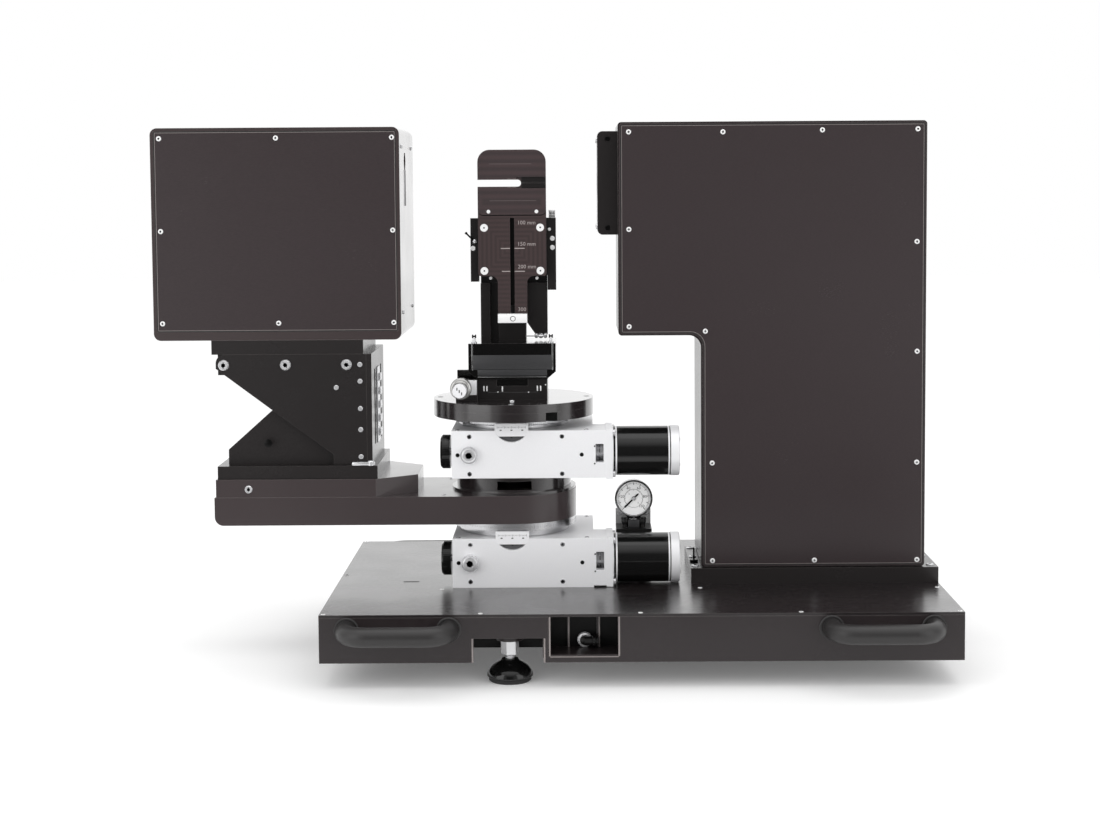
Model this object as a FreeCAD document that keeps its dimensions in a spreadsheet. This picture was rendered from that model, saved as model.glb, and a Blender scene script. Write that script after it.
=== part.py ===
import FreeCAD, Part
import os
import Sketcher

# Infrared ellipsometer: a plinth with a worm driven goniometer, a swinging arm with the
# detector box, an upright sample stage and an L shaped column that holds the light source.
# Frame: +Z up, +X from the detector box to the column, -Y towards the operator, origin on
# the bench under the middle of the instrument. The beam runs along X at beam_height.

SIZES = {
    # plinth
    "foot_height": 28, "base_reach_left": 202, "base_reach_right": 485,
    "base_half_depth": 211, "base_rise": 52, "top_sheet": 3, "skirt_wall": 12,
    "deck_thickness": 14, "sheet_seam": 11, "rib_wall": 10,
    # levelling feet
    "foot_spread": 175, "side_foot_inset": 60, "pad_radius": 25, "pad_rise": 24,
    "pad_neck_radius": 9, "pad_rim_rise": 7, "stud_radius": 5, "stud_hex": 17,
    "hex_rise": 16, "hex_gap": 0.3, "boss_radius": 15, "boss_drop": 18, "stud_fit": 0.06,
    "foot_notch_half_width": 38, "foot_notch_rise": 26,
    # carrying handles
    "handle_span": 130, "handle_radius": 10.5, "handle_reach": 45, "handle_height": 64,
    "handle_bend": 24, "left_handle_inset": 19, "right_handle_inset": 22,
    # gas inlet in its recess
    "inlet_offset": 81, "inlet_height": 44, "recess_left": 42, "recess_right": 117,
    "recess_floor": 36, "recess_depth": 40, "recess_wall": 6, "recess_fin": 3,
    "recess_fin_depth": 4, "recess_fin_inset": 20, "inlet_nut_radius": 7.5,
    "inlet_nut_rise": 6, "elbow_radius": 5, "elbow_bore": 3, "elbow_reach": 15,
    "elbow_collar_radius": 6, "elbow_collar_start": 8.5, "elbow_collar_width": 3,
    # goniometer stages
    "stage_left": 68, "stage_right": 92, "stage_half_depth": 76, "stage_rise": 54,
    "stage_foot": 2, "stage_wall": 8, "stage_cavity_radius": 42.5, "scallop_width": 38,
    "scallop_drop": 13, "scallop_depth": 5, "vernier_rise": 8, "vernier_thickness": 2.5,
    "rotor_gap": 0.3, "rotor_fit": 0.06, "rotor_neck": 30, "rotor_spindle": 20,
    "wheel_radius": 39.5, "wheel_width": 10, "ring_radius": 72, "ring_waist": 64,
    "lower_ring_rise": 16, "upper_ring_rise": 11,
    # worm, hand knob, coupling and motor
    "worm_offset": 47.5, "worm_radius": 7.5, "worm_length": 44, "worm_tunnel": 10,
    "shaft_radius": 4, "knob_radius": 19, "knob_length": 11, "knob_gap": 2.5,
    "coupling_radius": 12, "coupling_length": 12, "coupling_box_length": 14.5,
    "coupling_cavity": 18, "window_width": 9, "window_rise": 21, "window_lift": 1,
    "flange_side": 57, "flange_length": 7.5, "motor_radius": 28, "motor_length": 66,
    "bell_radius": 28.6, "bell_length": 10,
    "clamp_offset": 48, "clamp_radius": 9.5, "clamp_rise": 9, "clamp_shank": 4,
    "clamp_depth": 20, "clamp_socket": 4,
    # detector arm and spacer
    "arm_rise": 32, "arm_half_width": 72.5, "arm_reach": 337, "arm_edge": 10,
    "spacer_rise": 21, "spacer_radius": 66.5, "spacer_bore": 50, "spacer_rim": 3,
    "spacer_window_left": 17, "spacer_window_right": 22, "spacer_window_rise": 10,
    # stand of the detector box
    "stand_left": 335, "stand_right": 154, "stand_foot_rise": 20.5, "stand_half_depth": 65,
    "nose_reach": 109, "nose_half_width": 38, "stand_plate_rise": 15, "stand_plate_inset": 2,
    "side_plate": 8, "stand_rib_rise": 17, "v_apex_reach": 271,
    "side_left": 334, "side_right": 164, "side_step_reach": 202, "side_step_rise": 12,
    "side_corner_drop": 16, "side_corner": 10, "inner_left": 322.5, "inner_rise": 17.5,
    "end_plate": 6, "top_block_left": 338.5, "top_block_right": 167, "top_block_rise": 16,
    "top_bar_rise": 24, "top_bar_inset": 1, "end_slot_width": 10, "end_slot_margin": 20,
    # detector box
    "beam_height": 536, "box_outer_reach": 403, "box_inner_reach": 123.5, "box_rise": 239,
    "box_below_beam": 174, "box_front": 65, "box_rear": 107, "box_wall": 8, "box_corner": 8,
    "box_cover": 4, "box_rim": 4, "box_sill": 14, "slot_half_width": 6, "slot_below": 24,
    "slot_above": 37, "slot_head_radius": 10,
    # optics in the box
    "bench_thickness": 8, "bench_margin": 12, "rotor_block_side": 64, "rotor_block_length": 18,
    "optic_rotor_radius": 24, "optic_bore": 12, "rotor_block_pitch": 45, "optic_gap": 1,
    "detector_radius": 30, "detector_length": 70, "dewar_gap": 27, "dewar_radius": 38,
    "dewar_above_beam": 45,
    # column
    "column_left": 121.5, "column_inset": 15, "column_leg_left": 215, "column_above_beam": 69,
    "column_step_drop": 172, "column_front": 58, "column_rear": 70, "column_wall": 10,
    "column_corner": 4, "notch_corner": 14, "column_cover": 4, "cover_inset": 1.5,
    "flange_left": 203, "flange_rise": 18, "flange_margin": 3,
    # snout with the polariser
    "snout_reach": 98.6, "snout_below_beam": 58, "snout_above_beam": 59.5, "snout_half_width": 35,
    "snout_corner": 6, "snout_window": 14, "snout_lip": 5,
    # spectrometer in the column
    "bed_length": 150, "bed_drop": 96, "bed_rise": 40, "bed_half_width": 45,
    "scan_groove": 30, "scan_groove_depth": 12, "scan_gap": 0.3, "scan_length": 40,
    "scan_mirror_radius": 24, "scan_mirror_thickness": 8, "scan_inset": 50,
    "source_radius": 26, "source_length": 60, "source_seat": 4,
    # sample table
    "table_radius": 92.8, "lower_disc": 10, "upper_disc": 9.5, "notch_near": 39,
    "notch_far": 52, "notch_depth": 14, "table_hole_radius": 3.3, "table_hole_circle": 85,
    # cross slide and micrometer
    "cross_half_width": 40, "cross_half_depth": 35, "cross_rise": 24, "cross_gap": 0.1,
    "cross_groove": 36, "cross_groove_depth": 8,
    "slide_half_width": 50, "slide_chamfer_rise": 8.5, "slide_rise": 41, "slide_front": 38,
    "slide_rear": 46, "sample_stack_rise": 246.5, "adjuster_radius": 4, "adjuster_neck": 2,
    "adjuster_rise": 10, "adjuster_inset": 6, "adjuster_front": 31, "tab_thickness": 8, "tab_drop": 13, "tab_gap": 0.3,
    "micrometer_offset": 57, "micrometer_lift": 16.5, "sleeve_radius": 5,
    "spindle_radius": 3, "thimble_radius": 7.5, "thimble_length": 34, "thimble_front": 90.5,
    "thimble_fit": 0.3, "thimble_bevel": 3, "sleeve_overlap": 12, "bracket_near": 30,
    "bracket_far": 42, "tab_front": 12,
    "ratchet_radius": 5.5, "ratchet_length": 6,
    # tower and tilting sample plate
    "tower_left": 38, "tower_right": 40, "tower_front": 17, "tower_rear": 44,
    "tower_middle": 15, "tower_gap_rise": 22, "brace_reach": 26, "brace_lift": 6,
    "tower_shoulder_drop": 115, "tower_neck_front": 26, "tower_recess_left": 27,
    "tower_recess_right": 17, "tower_recess_depth": 10,
    "tilt_front": 12, "tilt_rear": 24, "tilt_left": 49, "tilt_right": 50.5,
    "tilt_bottom_drop": 106, "tilt_top_drop": 39, "tilt_left_drop": 7, "tilt_right_drop": 17,
    "lug_gap": 0.5,
    "tilt_axis_drop": 72, "tilt_axis_depth": 25, "tilt_pin": 3, "pin_fit": 0.06,
    "plate_half_width": 39.5, "plate_bottom_drop": 106, "plate_top_drop": 35,
    "stem_half_width": 17, "stem_drop": 149.5, "stem_corner": 8,
    "groove_half_width": 2.5, "groove_depth": 4,
    "plate_thickness": 12, "plate_corner": 3, "plate_screw_radius": 4.5,
    "plate_screw_rise": 2.5, "plate_screw_sink": 0.2, "plate_screw_inset": 7, "plate_screw_upper_drop": 50,
    "plate_screw_lower_drop": 100, "screw_shank": 2.5, "screw_fit": 0.1,
    "upper_plate_above_beam": 40, "upper_plate_thickness": 8, "upper_corner": 14,
    "lower_corner": 8, "ear_rise": 5,
    "beam_slot": 4.5, "milled_depth": 3, "milled_half_rise": 8, "milled_start": 4,
    "ledge_rise": 10.5, "ledge_depth": 10, "ledge_gap": 0.1, "tongue_lift": 10,
    "tip_knob_radius": 4, "tip_knob_rise": 9, "tip_knob_offset": 46, "tip_knob_depth": 18,
    # pressure gauge
    "gauge_offset": 139, "gauge_height": 172, "gauge_radius": 21.5, "gauge_depth": 14,
    "gauge_front": 22, "gauge_stem": 4.8, "gauge_nut": 7, "gauge_nut_rise": 4.5,
    "gauge_rim": 1.8, "dial_recess": 3,
    "needle_length": 15, "needle_tail": 7, "needle_half_width": 0.9, "needle_hub": 2.4,
    "needle_thickness": 1, "needle_pin": 1, "needle_fit": 0.06, "manifold_half_width": 20.5,
    "manifold_rise": 3.5, "manifold_bottom": 134.5, "manifold_front": 30, "bracket_sheet": 3,
    "bracket_front": 8, "bracket_top": 156, "fitting_radius": 4.6, "fitting_rise": 9.5,
    "fitting_neck": 3.4, "fitting_neck_rise": 3,
    "fitting_pitch": 20, "needle_lift": 0.5, "needle_seat": 3, "stem_overlap": 2,
}


class Length:
    """A size or a place: its value in millimetres and the expression that binds it."""

    def __init__(self, value, text):
        self.value = value
        self.text = text

    def __add__(self, other):
        other = as_length(other)
        return Length(self.value + other.value, f"({self.text} + {other.text})")

    def __sub__(self, other):
        other = as_length(other)
        return Length(self.value - other.value, f"({self.text} - {other.text})")

    def __mul__(self, factor):
        factor = as_length(factor)
        return Length(self.value * factor.value, f"({self.text} * {factor.text})")

    def __truediv__(self, divisor):
        divisor = as_length(divisor)
        return Length(self.value / divisor.value, f"({self.text} / {divisor.text})")

    def __neg__(self):
        return Length(-self.value, f"(0 - {self.text})")

    __radd__ = __add__
    __rmul__ = __mul__

    def __rsub__(self, other):
        return as_length(other) - self


def as_length(number):
    """Give a plain number the same two faces as a sheet value."""
    if isinstance(number, Length):
        return number
    return Length(float(number), f"{number}" if number >= 0 else f"(0 - {-number})")


document = FreeCAD.newDocument("infrared_ellipsometer")
sheet = document.addObject("Spreadsheet::Sheet", "sizes")
for row, (alias, number) in enumerate(SIZES.items(), start=1):
    sheet.set(f"A{row}", alias)
    sheet.set(f"B{row}", str(number))
    sheet.setAlias(f"B{row}", alias)
document.recompute()


class Sizes:
    """The sheet's values by their aliases."""


size = Sizes()
for alias in SIZES:
    setattr(size, alias, Length(float(sheet.get(alias)), f"sizes.{alias}"))

QUARTER = 90
HALF = 180
ZERO = as_length(0)
TURN_TO = {
    "X": FreeCAD.Rotation(FreeCAD.Vector(0, 1, 0), QUARTER),
    "Y": FreeCAD.Rotation(FreeCAD.Vector(1, 0, 0), -QUARTER),
    "-Y": FreeCAD.Rotation(FreeCAD.Vector(1, 0, 0), QUARTER),
    "Z": FreeCAD.Rotation(),
}
parts = {}


def bind(item, **lengths):
    """Bind properties of an object to sheet expressions."""
    for name, length in lengths.items():
        item.setExpression(name, as_length(length).text)


def place(item, x, y, z):
    """Bind an object's position."""
    for letter, length in zip("xyz", (x, y, z)):
        item.setExpression(f"Placement.Base.{letter}", as_length(length).text)
    return item


def block(x, y, z, label="block"):
    """A box between two places along each axis."""
    item = document.addObject("Part::Box", label)
    bind(item, Length=x[1] - x[0], Width=y[1] - y[0], Height=z[1] - z[0])
    return place(item, x[0], y[0], z[0])


def rod(axis, centre, radius, span, label="rod"):
    """A cylinder along an axis: its centre in the other two directions, and its ends."""
    item = document.addObject("Part::Cylinder", label)
    bind(item, Radius=radius, Height=span[1] - span[0])
    item.Placement = FreeCAD.Placement(FreeCAD.Vector(), TURN_TO[axis])
    corner = {"X": (span[0], *centre), "Y": (centre[0], span[0], centre[1]),
              "Z": (*centre, span[0])}[axis]
    return place(item, *corner)


def draw(body, plane, loops, circles=(), label="sketch"):
    """Sketch closed loops of corner points, and circles, all held by bound distances."""
    sketch = body.newObject("Sketcher::SketchObject", label)
    planes = {item.Role: item for item in body.Origin.OriginFeatures}
    sketch.AttachmentSupport = [(planes[plane + "_Plane"], "")]
    sketch.MapMode = "FlatFace"
    for loop in loops:
        corners = [(as_length(x), as_length(y)) for x, y in loop]
        first = sketch.GeometryCount
        count = len(corners)
        vectors = [FreeCAD.Vector(x.value, y.value, 0) for x, y in corners]
        for index in range(count):
            line = Part.LineSegment(vectors[index], vectors[(index + 1) % count])
            sketch.addGeometry(line, False)
        for index in range(count):
            following = first + (index + 1) % count
            sketch.addConstraint(Sketcher.Constraint("Coincident", first + index, 2, following, 1))
        for index, (x, y) in enumerate(corners):
            for kind, length in (("DistanceX", x), ("DistanceY", y)):
                hold = Sketcher.Constraint(kind, -1, 1, first + index, 1, length.value)
                number = sketch.addConstraint(hold)
                sketch.setExpression(f"Constraints[{number}]", length.text)
    for (x, y), radius in circles:
        x, y, radius = as_length(x), as_length(y), as_length(radius)
        centre = FreeCAD.Vector(x.value, y.value, 0)
        curve = sketch.addGeometry(Part.Circle(centre, FreeCAD.Vector(0, 0, 1), radius.value))
        for kind, length in (("DistanceX", x), ("DistanceY", y)):
            hold = Sketcher.Constraint(kind, -1, 1, curve, 3, length.value)
            number = sketch.addConstraint(hold)
            sketch.setExpression(f"Constraints[{number}]", length.text)
        number = sketch.addConstraint(Sketcher.Constraint("Radius", curve, radius.value))
        sketch.setExpression(f"Constraints[{number}]", radius.text)
    return sketch


def plate(plane, span, corners, holes=(), circles=(), rounds=(), label="plate"):
    """A padded outline with inner loops and round holes; rounds are (corners, radius)."""
    body = document.addObject("PartDesign::Body", label)
    sketch = draw(body, plane, [corners, *holes], circles)
    start, end = as_length(span[0]), as_length(span[1])
    bind(sketch, **{"AttachmentOffset.Base.z": -end if plane == "XZ" else start})
    pad = body.newObject("PartDesign::Pad", "pad")
    pad.Profile = sketch
    bind(pad, Length=end - start)
    document.recompute()
    for points, radius in rounds:
        feature = body.newObject("PartDesign::Fillet", "corner")
        feature.Base = (body.Tip if body.Tip != feature else pad, edges_at(pad, plane, points))
        bind(feature, Radius=radius)
        body.Tip = feature
        document.recompute()
        pad = feature
    return body


def edges_at(feature, plane, points):
    """Names of the edges that stand on the outline's plane at the given corner points."""
    first, second = {"XY": (0, 1), "XZ": (0, 2), "YZ": (1, 2)}[plane]
    names = []
    for number, edge in enumerate(feature.Shape.Edges, start=1):
        ends = [vertex.Point for vertex in edge.Vertexes]
        for u, v in points:
            u, v = as_length(u).value, as_length(v).value
            near = [abs(end[first] - u) < 0.01 and abs(end[second] - v) < 0.01 for end in ends]
            if len(ends) == 2 and all(near):
                names.append(f"Edge{number}")
    return names


def turned(axis, centre, profile, label="turned"):
    """A lathe piece: profile points are (radius, distance along the axis from the centre)."""
    body = document.addObject("PartDesign::Body", label)
    sketch = draw(body, "XZ", [profile])
    lathe = body.newObject("PartDesign::Revolution", "lathe")
    lathe.Profile = sketch
    lathe.ReferenceAxis = (sketch, ["V_Axis"])
    lathe.Angle = 360
    body.Placement = FreeCAD.Placement(FreeCAD.Vector(), TURN_TO[axis])
    return place(body, *centre)


def join(*items, label="join"):
    """Fuse pieces that touch or overlap into one solid."""
    item = document.addObject("Part::MultiFuse", label)
    item.Shapes = list(items)
    item.Refine = True
    return item


def cut(base, *tools, label="cut"):
    """Take one or more tools out of a piece."""
    item = document.addObject("Part::Cut", label)
    item.Base = base
    item.Tool = tools[0] if len(tools) == 1 else join(*tools)
    item.Refine = True
    return item


def group(*items, label="group"):
    """Separate solids that share one node."""
    item = document.addObject("Part::Compound", label)
    item.Links = list(items)
    return item


def soften(base, radius, chosen, label="soften"):
    """Round the edges that a test on their end points picks."""
    document.recompute()
    item = document.addObject("Part::Fillet", label)
    item.Base = base
    edges = []
    for number, edge in enumerate(base.Shape.Edges, start=1):
        if chosen([vertex.Point for vertex in edge.Vertexes]):
            edges.append((number, radius.value, radius.value))
    item.Edges = edges
    return item


def keep(name, item):
    """Name a finished sub-part."""
    item.Label = name
    parts[name] = item
    return item


# Common places. The goniometer axis stands left of the frame's origin, because the box and
# the plinth reach unequally far from it.
axis_x = (size.box_outer_reach - size.base_reach_right) / 2
base_left = axis_x - size.base_reach_left
base_right = axis_x + size.base_reach_right
base_bottom = size.foot_height
base_top = base_bottom + size.base_rise
frame_top = base_top - size.top_sheet
deck_bottom = frame_top - size.deck_thickness
lower_stage_bottom = base_top + size.stage_foot
arm_bottom = lower_stage_bottom + size.stage_rise + size.lower_ring_rise
arm_top = arm_bottom + size.arm_rise
upper_stage_bottom = arm_top + size.spacer_rise
table_bottom = upper_stage_bottom + size.stage_rise + size.upper_ring_rise
table_middle = table_bottom + size.lower_disc
table_top = table_middle + size.upper_disc
column_right = base_right - size.column_inset
column_top = size.beam_height + size.column_above_beam
column_step = size.beam_height - size.column_step_drop
# What stands on the table keeps its proportions when the beam or the table moves.
stack_share = (size.beam_height - table_top) / size.sample_stack_rise
slide_top = table_top + size.cross_rise + size.slide_rise * stack_share
tilt_bottom = size.beam_height - size.tilt_bottom_drop * stack_share
tilt_top = size.beam_height - size.tilt_top_drop * stack_share
tilt_axis_height = size.beam_height - size.tilt_axis_drop * stack_share
plate_bottom = size.beam_height - size.plate_bottom_drop * stack_share
plate_top = size.beam_height - size.plate_top_drop * stack_share
stem_bottom = size.beam_height - size.stem_drop * stack_share


# Plinth: a deep machined frame, open below, with notches for the feet and a recess for gas.
def build_base():
    half = size.base_half_depth
    wall = size.skirt_wall
    body = block((base_left, base_right), (-half, half), (base_bottom, frame_top))
    rib_x = axis_x + size.stage_right
    hollows = [
        block((base_left + wall, rib_x), (wall - half, half - wall), (base_bottom, deck_bottom)),
        block((rib_x + size.rib_wall, base_right - wall), (wall - half, half - wall),
              (base_bottom, deck_bottom)),
    ]
    body = cut(body, *hollows)
    recess_x = (axis_x + size.recess_left, axis_x + size.recess_right)
    recess_rear = size.recess_depth - half
    around = size.recess_wall
    pocket_wall = block((recess_x[0] - around, recess_x[1] + around), (-half, recess_rear + around),
                        (size.recess_floor - around, frame_top))
    bosses = [rod("Z", spot, size.boss_radius, (deck_bottom - size.boss_drop, frame_top))
              for spot in foot_spots()]
    body = join(body, pocket_wall, *bosses)
    recess = block(recess_x, (-half, recess_rear), (size.recess_floor, frame_top))
    notches = [block((axis_x - size.foot_notch_half_width, axis_x + size.foot_notch_half_width),
                     span, (base_bottom, base_bottom + size.foot_notch_rise))
               for span in ((-half, wall - half), (half - wall, half))]
    bores = [rod("Z", spot, size.stud_radius + size.stud_fit, (base_bottom, frame_top))
             for spot in foot_spots()]
    inlet_bore = rod("Y", (axis_x + size.inlet_offset, size.inlet_height),
                     size.elbow_radius + size.stud_fit, (recess_rear, recess_rear + around))
    body = cut(body, recess, inlet_bore, *notches, *bores)
    fins = [block((place_x, place_x + size.recess_fin),
                  (recess_rear - size.recess_fin_depth, recess_rear),
                  (size.recess_floor, frame_top))
            for place_x in (recess_x[0] + size.recess_fin_inset,
                            recess_x[1] - size.recess_fin_inset - size.recess_fin)]
    keep("base_frame", join(body, *fins))
    sheets = [block((base_left, base_right), span, (frame_top, base_top))
              for span in ((-half, size.sheet_seam), (size.sheet_seam, half))]
    keep("base_top_sheets", group(*sheets))


def foot_spots():
    """The three places where a levelling foot stands."""
    return [(axis_x, -size.foot_spread), (axis_x, size.foot_spread),
            (base_right - size.side_foot_inset, ZERO)]


# Levelling feet: a moulded pad and a hexagon stud that screws up into the plinth.
def build_feet():
    for name, (x, y) in zip(("front_foot", "rear_foot", "side_foot"), foot_spots()):
        pad = turned("Z", (x, y, ZERO), [
            (0, 0), (size.pad_radius - 2, 0), (size.pad_radius, 2),
            (size.pad_radius, size.pad_rim_rise), (size.pad_radius * 0.8, size.pad_rise * 0.68),
            (size.pad_neck_radius, size.pad_rise), (0, size.pad_rise)])
        hexagon = document.addObject("Part::Prism", "hexagon")
        hexagon.Polygon = 6
        bind(hexagon, Circumradius=size.stud_hex / 1.732, Height=size.hex_rise)
        boss_bottom = deck_bottom - size.boss_drop
        place(hexagon, x, y, boss_bottom - size.hex_gap - size.hex_rise)
        thread = rod("Z", (x, y), size.stud_radius, (size.pad_rise, deck_bottom))
        keep(name, group(pad, join(hexagon, thread)))


# Carrying handles: four rubber covered bows, two at the front and two at the rear.
def build_handles():
    handles = []
    left_x = base_left + size.left_handle_inset
    right_x = base_right - size.right_handle_inset - size.handle_span
    radius = size.handle_radius
    bend = size.handle_bend
    for start in (left_x, right_x):
        for side in (-1, 1):
            face = size.base_half_depth * side
            bar_y = (size.base_half_depth + size.handle_reach - radius) * side
            bend_y = (size.base_half_depth + size.handle_reach - radius - bend) * side
            first, last = start + radius, start + size.handle_span - radius
            bar = rod("X", (bar_y, size.handle_height), radius, (first + bend, last - bend))
            legs = [rod("Y", (x, size.handle_height), radius,
                        (bend_y, face) if side < 0 else (face, bend_y)) for x in (first, last)]
            corners = []
            for x, turn in ((first + bend, 180 if side < 0 else 90),
                            (last - bend, 270 if side < 0 else 0)):
                corner = document.addObject("Part::Torus", "bend")
                corner.Angle3 = QUARTER
                bind(corner, Radius1=bend, Radius2=radius)
                corner.Placement = FreeCAD.Placement(
                    FreeCAD.Vector(), FreeCAD.Rotation(FreeCAD.Vector(0, 0, 1), turn))
                corners.append(place(corner, x, bend_y, size.handle_height))
            handles.append(join(bar, *legs, *corners))
    keep("carry_handles", group(*handles))


# Gas inlet: a push-in elbow that swivels in the recess wall.
def build_inlet():
    x = axis_x + size.inlet_offset
    rear = size.recess_depth - size.base_half_depth
    nut_front = rear - size.inlet_nut_rise
    turn_y = nut_front - size.elbow_radius
    collar = rod("Y", (x, size.inlet_height), size.inlet_nut_radius, (nut_front, rear))
    stem = rod("Y", (x, size.inlet_height), size.elbow_radius,
               (turn_y - size.elbow_radius, rear + size.recess_wall))
    collar_end = size.elbow_collar_start + size.elbow_collar_width
    outlet = turned("X", (x, turn_y, size.inlet_height), [
        (0, 0), (size.elbow_radius, 0), (size.elbow_radius, size.elbow_collar_start),
        (size.elbow_collar_radius, size.elbow_collar_start + 0.5), (size.elbow_collar_radius, collar_end),
        (size.elbow_radius, collar_end + 0.5), (size.elbow_radius, size.elbow_reach),
        (0, size.elbow_reach)])
    bore = rod("X", (turn_y, size.inlet_height), size.elbow_bore, (x, x + size.elbow_reach))
    keep("inlet_elbow", cut(join(collar, stem, outlet), bore))


# One worm driven rotary stage: housing, clamp screw, vernier, coupling box, motor, hand
# knob, worm shaft and the graduated rotor. The goniometer stacks two of them.
def build_stage(name, bottom, ring_rise, foot):
    top = bottom + size.stage_rise
    middle = bottom + size.stage_rise / 2
    left, right = axis_x - size.stage_left, axis_x + size.stage_right
    half = size.stage_half_depth
    worm_line = (-size.worm_offset, middle)
    body = block((left, right), (-half, half), (bottom - foot, top))
    drop = size.scallop_drop
    # A circle whose chord is the scallop's width and whose sagitta is its drop.
    scallop_radius = Length(
        (size.scallop_width.value ** 2 / 4 + drop.value ** 2) / (2 * drop.value),
        f"((sizes.scallop_width ^ 2 / 4 + sizes.scallop_drop ^ 2) / (2 * sizes.scallop_drop))")
    scallop = rod("Y", (axis_x, top - drop + scallop_radius), scallop_radius,
                  (-half, size.scallop_depth - half))
    cavity = rod("Z", (axis_x, ZERO), size.stage_cavity_radius,
                 (bottom + size.stage_wall, top - size.stage_wall))
    neck = rod("Z", (axis_x, ZERO), size.rotor_neck + size.rotor_fit, (middle, top))
    tunnel = rod("X", worm_line, size.worm_tunnel, (left + size.stage_wall, right - size.stage_wall))
    shaft_bore = rod("X", worm_line, size.shaft_radius + size.rotor_fit, (left, right))
    clamp_x = axis_x - size.clamp_offset
    clamp_bore = rod("Y", (clamp_x, middle), size.clamp_shank + size.screw_fit,
                     (-half, size.clamp_depth - half))
    keep(f"{name}_housing", cut(body, scallop, cavity, neck, tunnel, shaft_bore, clamp_bore))

    head = rod("Y", (clamp_x, middle), size.clamp_radius, (-half - size.clamp_rise, -half))
    shank = rod("Y", (clamp_x, middle), size.clamp_shank, (-half, size.clamp_depth - half))
    socket = rod("Y", (clamp_x, middle), size.clamp_socket,
                 (-half - size.clamp_rise, -half - size.clamp_rise / 3))
    keep(f"{name}_clamp_screw", cut(join(head, shank), socket))

    vernier_half = size.scallop_width / 2
    vernier_y = (-half, size.vernier_thickness - half)
    vernier = plate("YZ", (axis_x - vernier_half, axis_x + vernier_half), [
        (vernier_y[0], top - drop / 2), (vernier_y[1], top - drop / 2),
        (vernier_y[1], top + size.vernier_rise),
        (vernier_y[1] - size.vernier_thickness / 2, top + size.vernier_rise)])
    trim = rod("Y", (axis_x, top - drop + scallop_radius), scallop_radius,
               (-half, size.scallop_depth - half))
    common = document.addObject("Part::MultiCommon", "common")
    common.Shapes = [vernier, trim]
    keep(f"{name}_vernier", common)

    box_end = right + size.coupling_box_length
    worm_y = (-half, size.flange_side - half)
    coupling_box = block((right, box_end), worm_y, (bottom, top))
    coupling_bore = rod("X", worm_line, size.coupling_cavity, (right, box_end))
    window_left = right + (size.coupling_box_length - size.window_width) / 2
    window_bottom = middle + size.window_lift - size.window_rise / 2
    window = block((window_left, window_left + size.window_width), (-half, -size.worm_offset),
                   (window_bottom, window_bottom + size.window_rise))
    keep(f"{name}_coupling_box", cut(coupling_box, coupling_bore, window))

    flange_end = box_end + size.flange_length
    can_end = flange_end + size.motor_length
    side = size.flange_side / 2
    flange = block((box_end, flange_end), (-size.worm_offset - side, side - size.worm_offset),
                   (middle - side, middle + side))
    flange_bore = rod("X", worm_line, size.shaft_radius + size.rotor_fit, (box_end, flange_end))
    can = rod("X", worm_line, size.motor_radius, (flange_end, can_end))
    bell = turned("X", (can_end, *worm_line), [
        (0, 0), (size.bell_radius, 0), (size.bell_radius, size.bell_length - 1),
        (size.bell_radius - 1, size.bell_length), (0, size.bell_length)])
    keep(f"{name}_motor", group(cut(flange, flange_bore), can, bell))

    knob_end = left - size.knob_gap
    knob_start = knob_end - size.knob_length
    knob = turned("X", (knob_start, *worm_line), [
        (0, 0), (size.knob_radius - 2, 0), (size.knob_radius, 2),
        (size.knob_radius, size.knob_length), (0, size.knob_length)])
    keep(f"{name}_hand_knob", knob)
    worm = rod("X", worm_line, size.worm_radius,
               (axis_x - size.worm_length / 2, axis_x + size.worm_length / 2))
    shaft = rod("X", worm_line, size.shaft_radius, (knob_end, flange_end - size.rotor_gap))
    hub_start = right + (size.coupling_box_length - size.coupling_length) / 2
    hub = rod("X", worm_line, size.coupling_radius, (hub_start, hub_start + size.coupling_length))
    keep(f"{name}_worm_shaft", join(worm, shaft, hub))

    half_wheel = size.wheel_width / 2
    ring_bottom = size.stage_rise + size.rotor_gap
    ring_top = size.stage_rise + ring_rise
    waist_top = ring_bottom + (ring_rise - size.rotor_gap) / 3
    rotor = turned("Z", (axis_x, ZERO, bottom), [
        (0, size.stage_wall + size.rotor_gap), (size.rotor_spindle, size.stage_wall + size.rotor_gap),
        (size.rotor_spindle, size.stage_rise / 2 - half_wheel),
        (size.wheel_radius, size.stage_rise / 2 - half_wheel),
        (size.wheel_radius, size.stage_rise / 2 + half_wheel),
        (size.rotor_neck, size.stage_rise / 2 + half_wheel),
        (size.rotor_neck, ring_bottom), (size.ring_waist, ring_bottom),
        (size.ring_waist, waist_top), (size.ring_radius, waist_top + 2),
        (size.ring_radius, ring_top), (0, ring_top)])
    keep(f"{name}_rotor", rotor)


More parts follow.
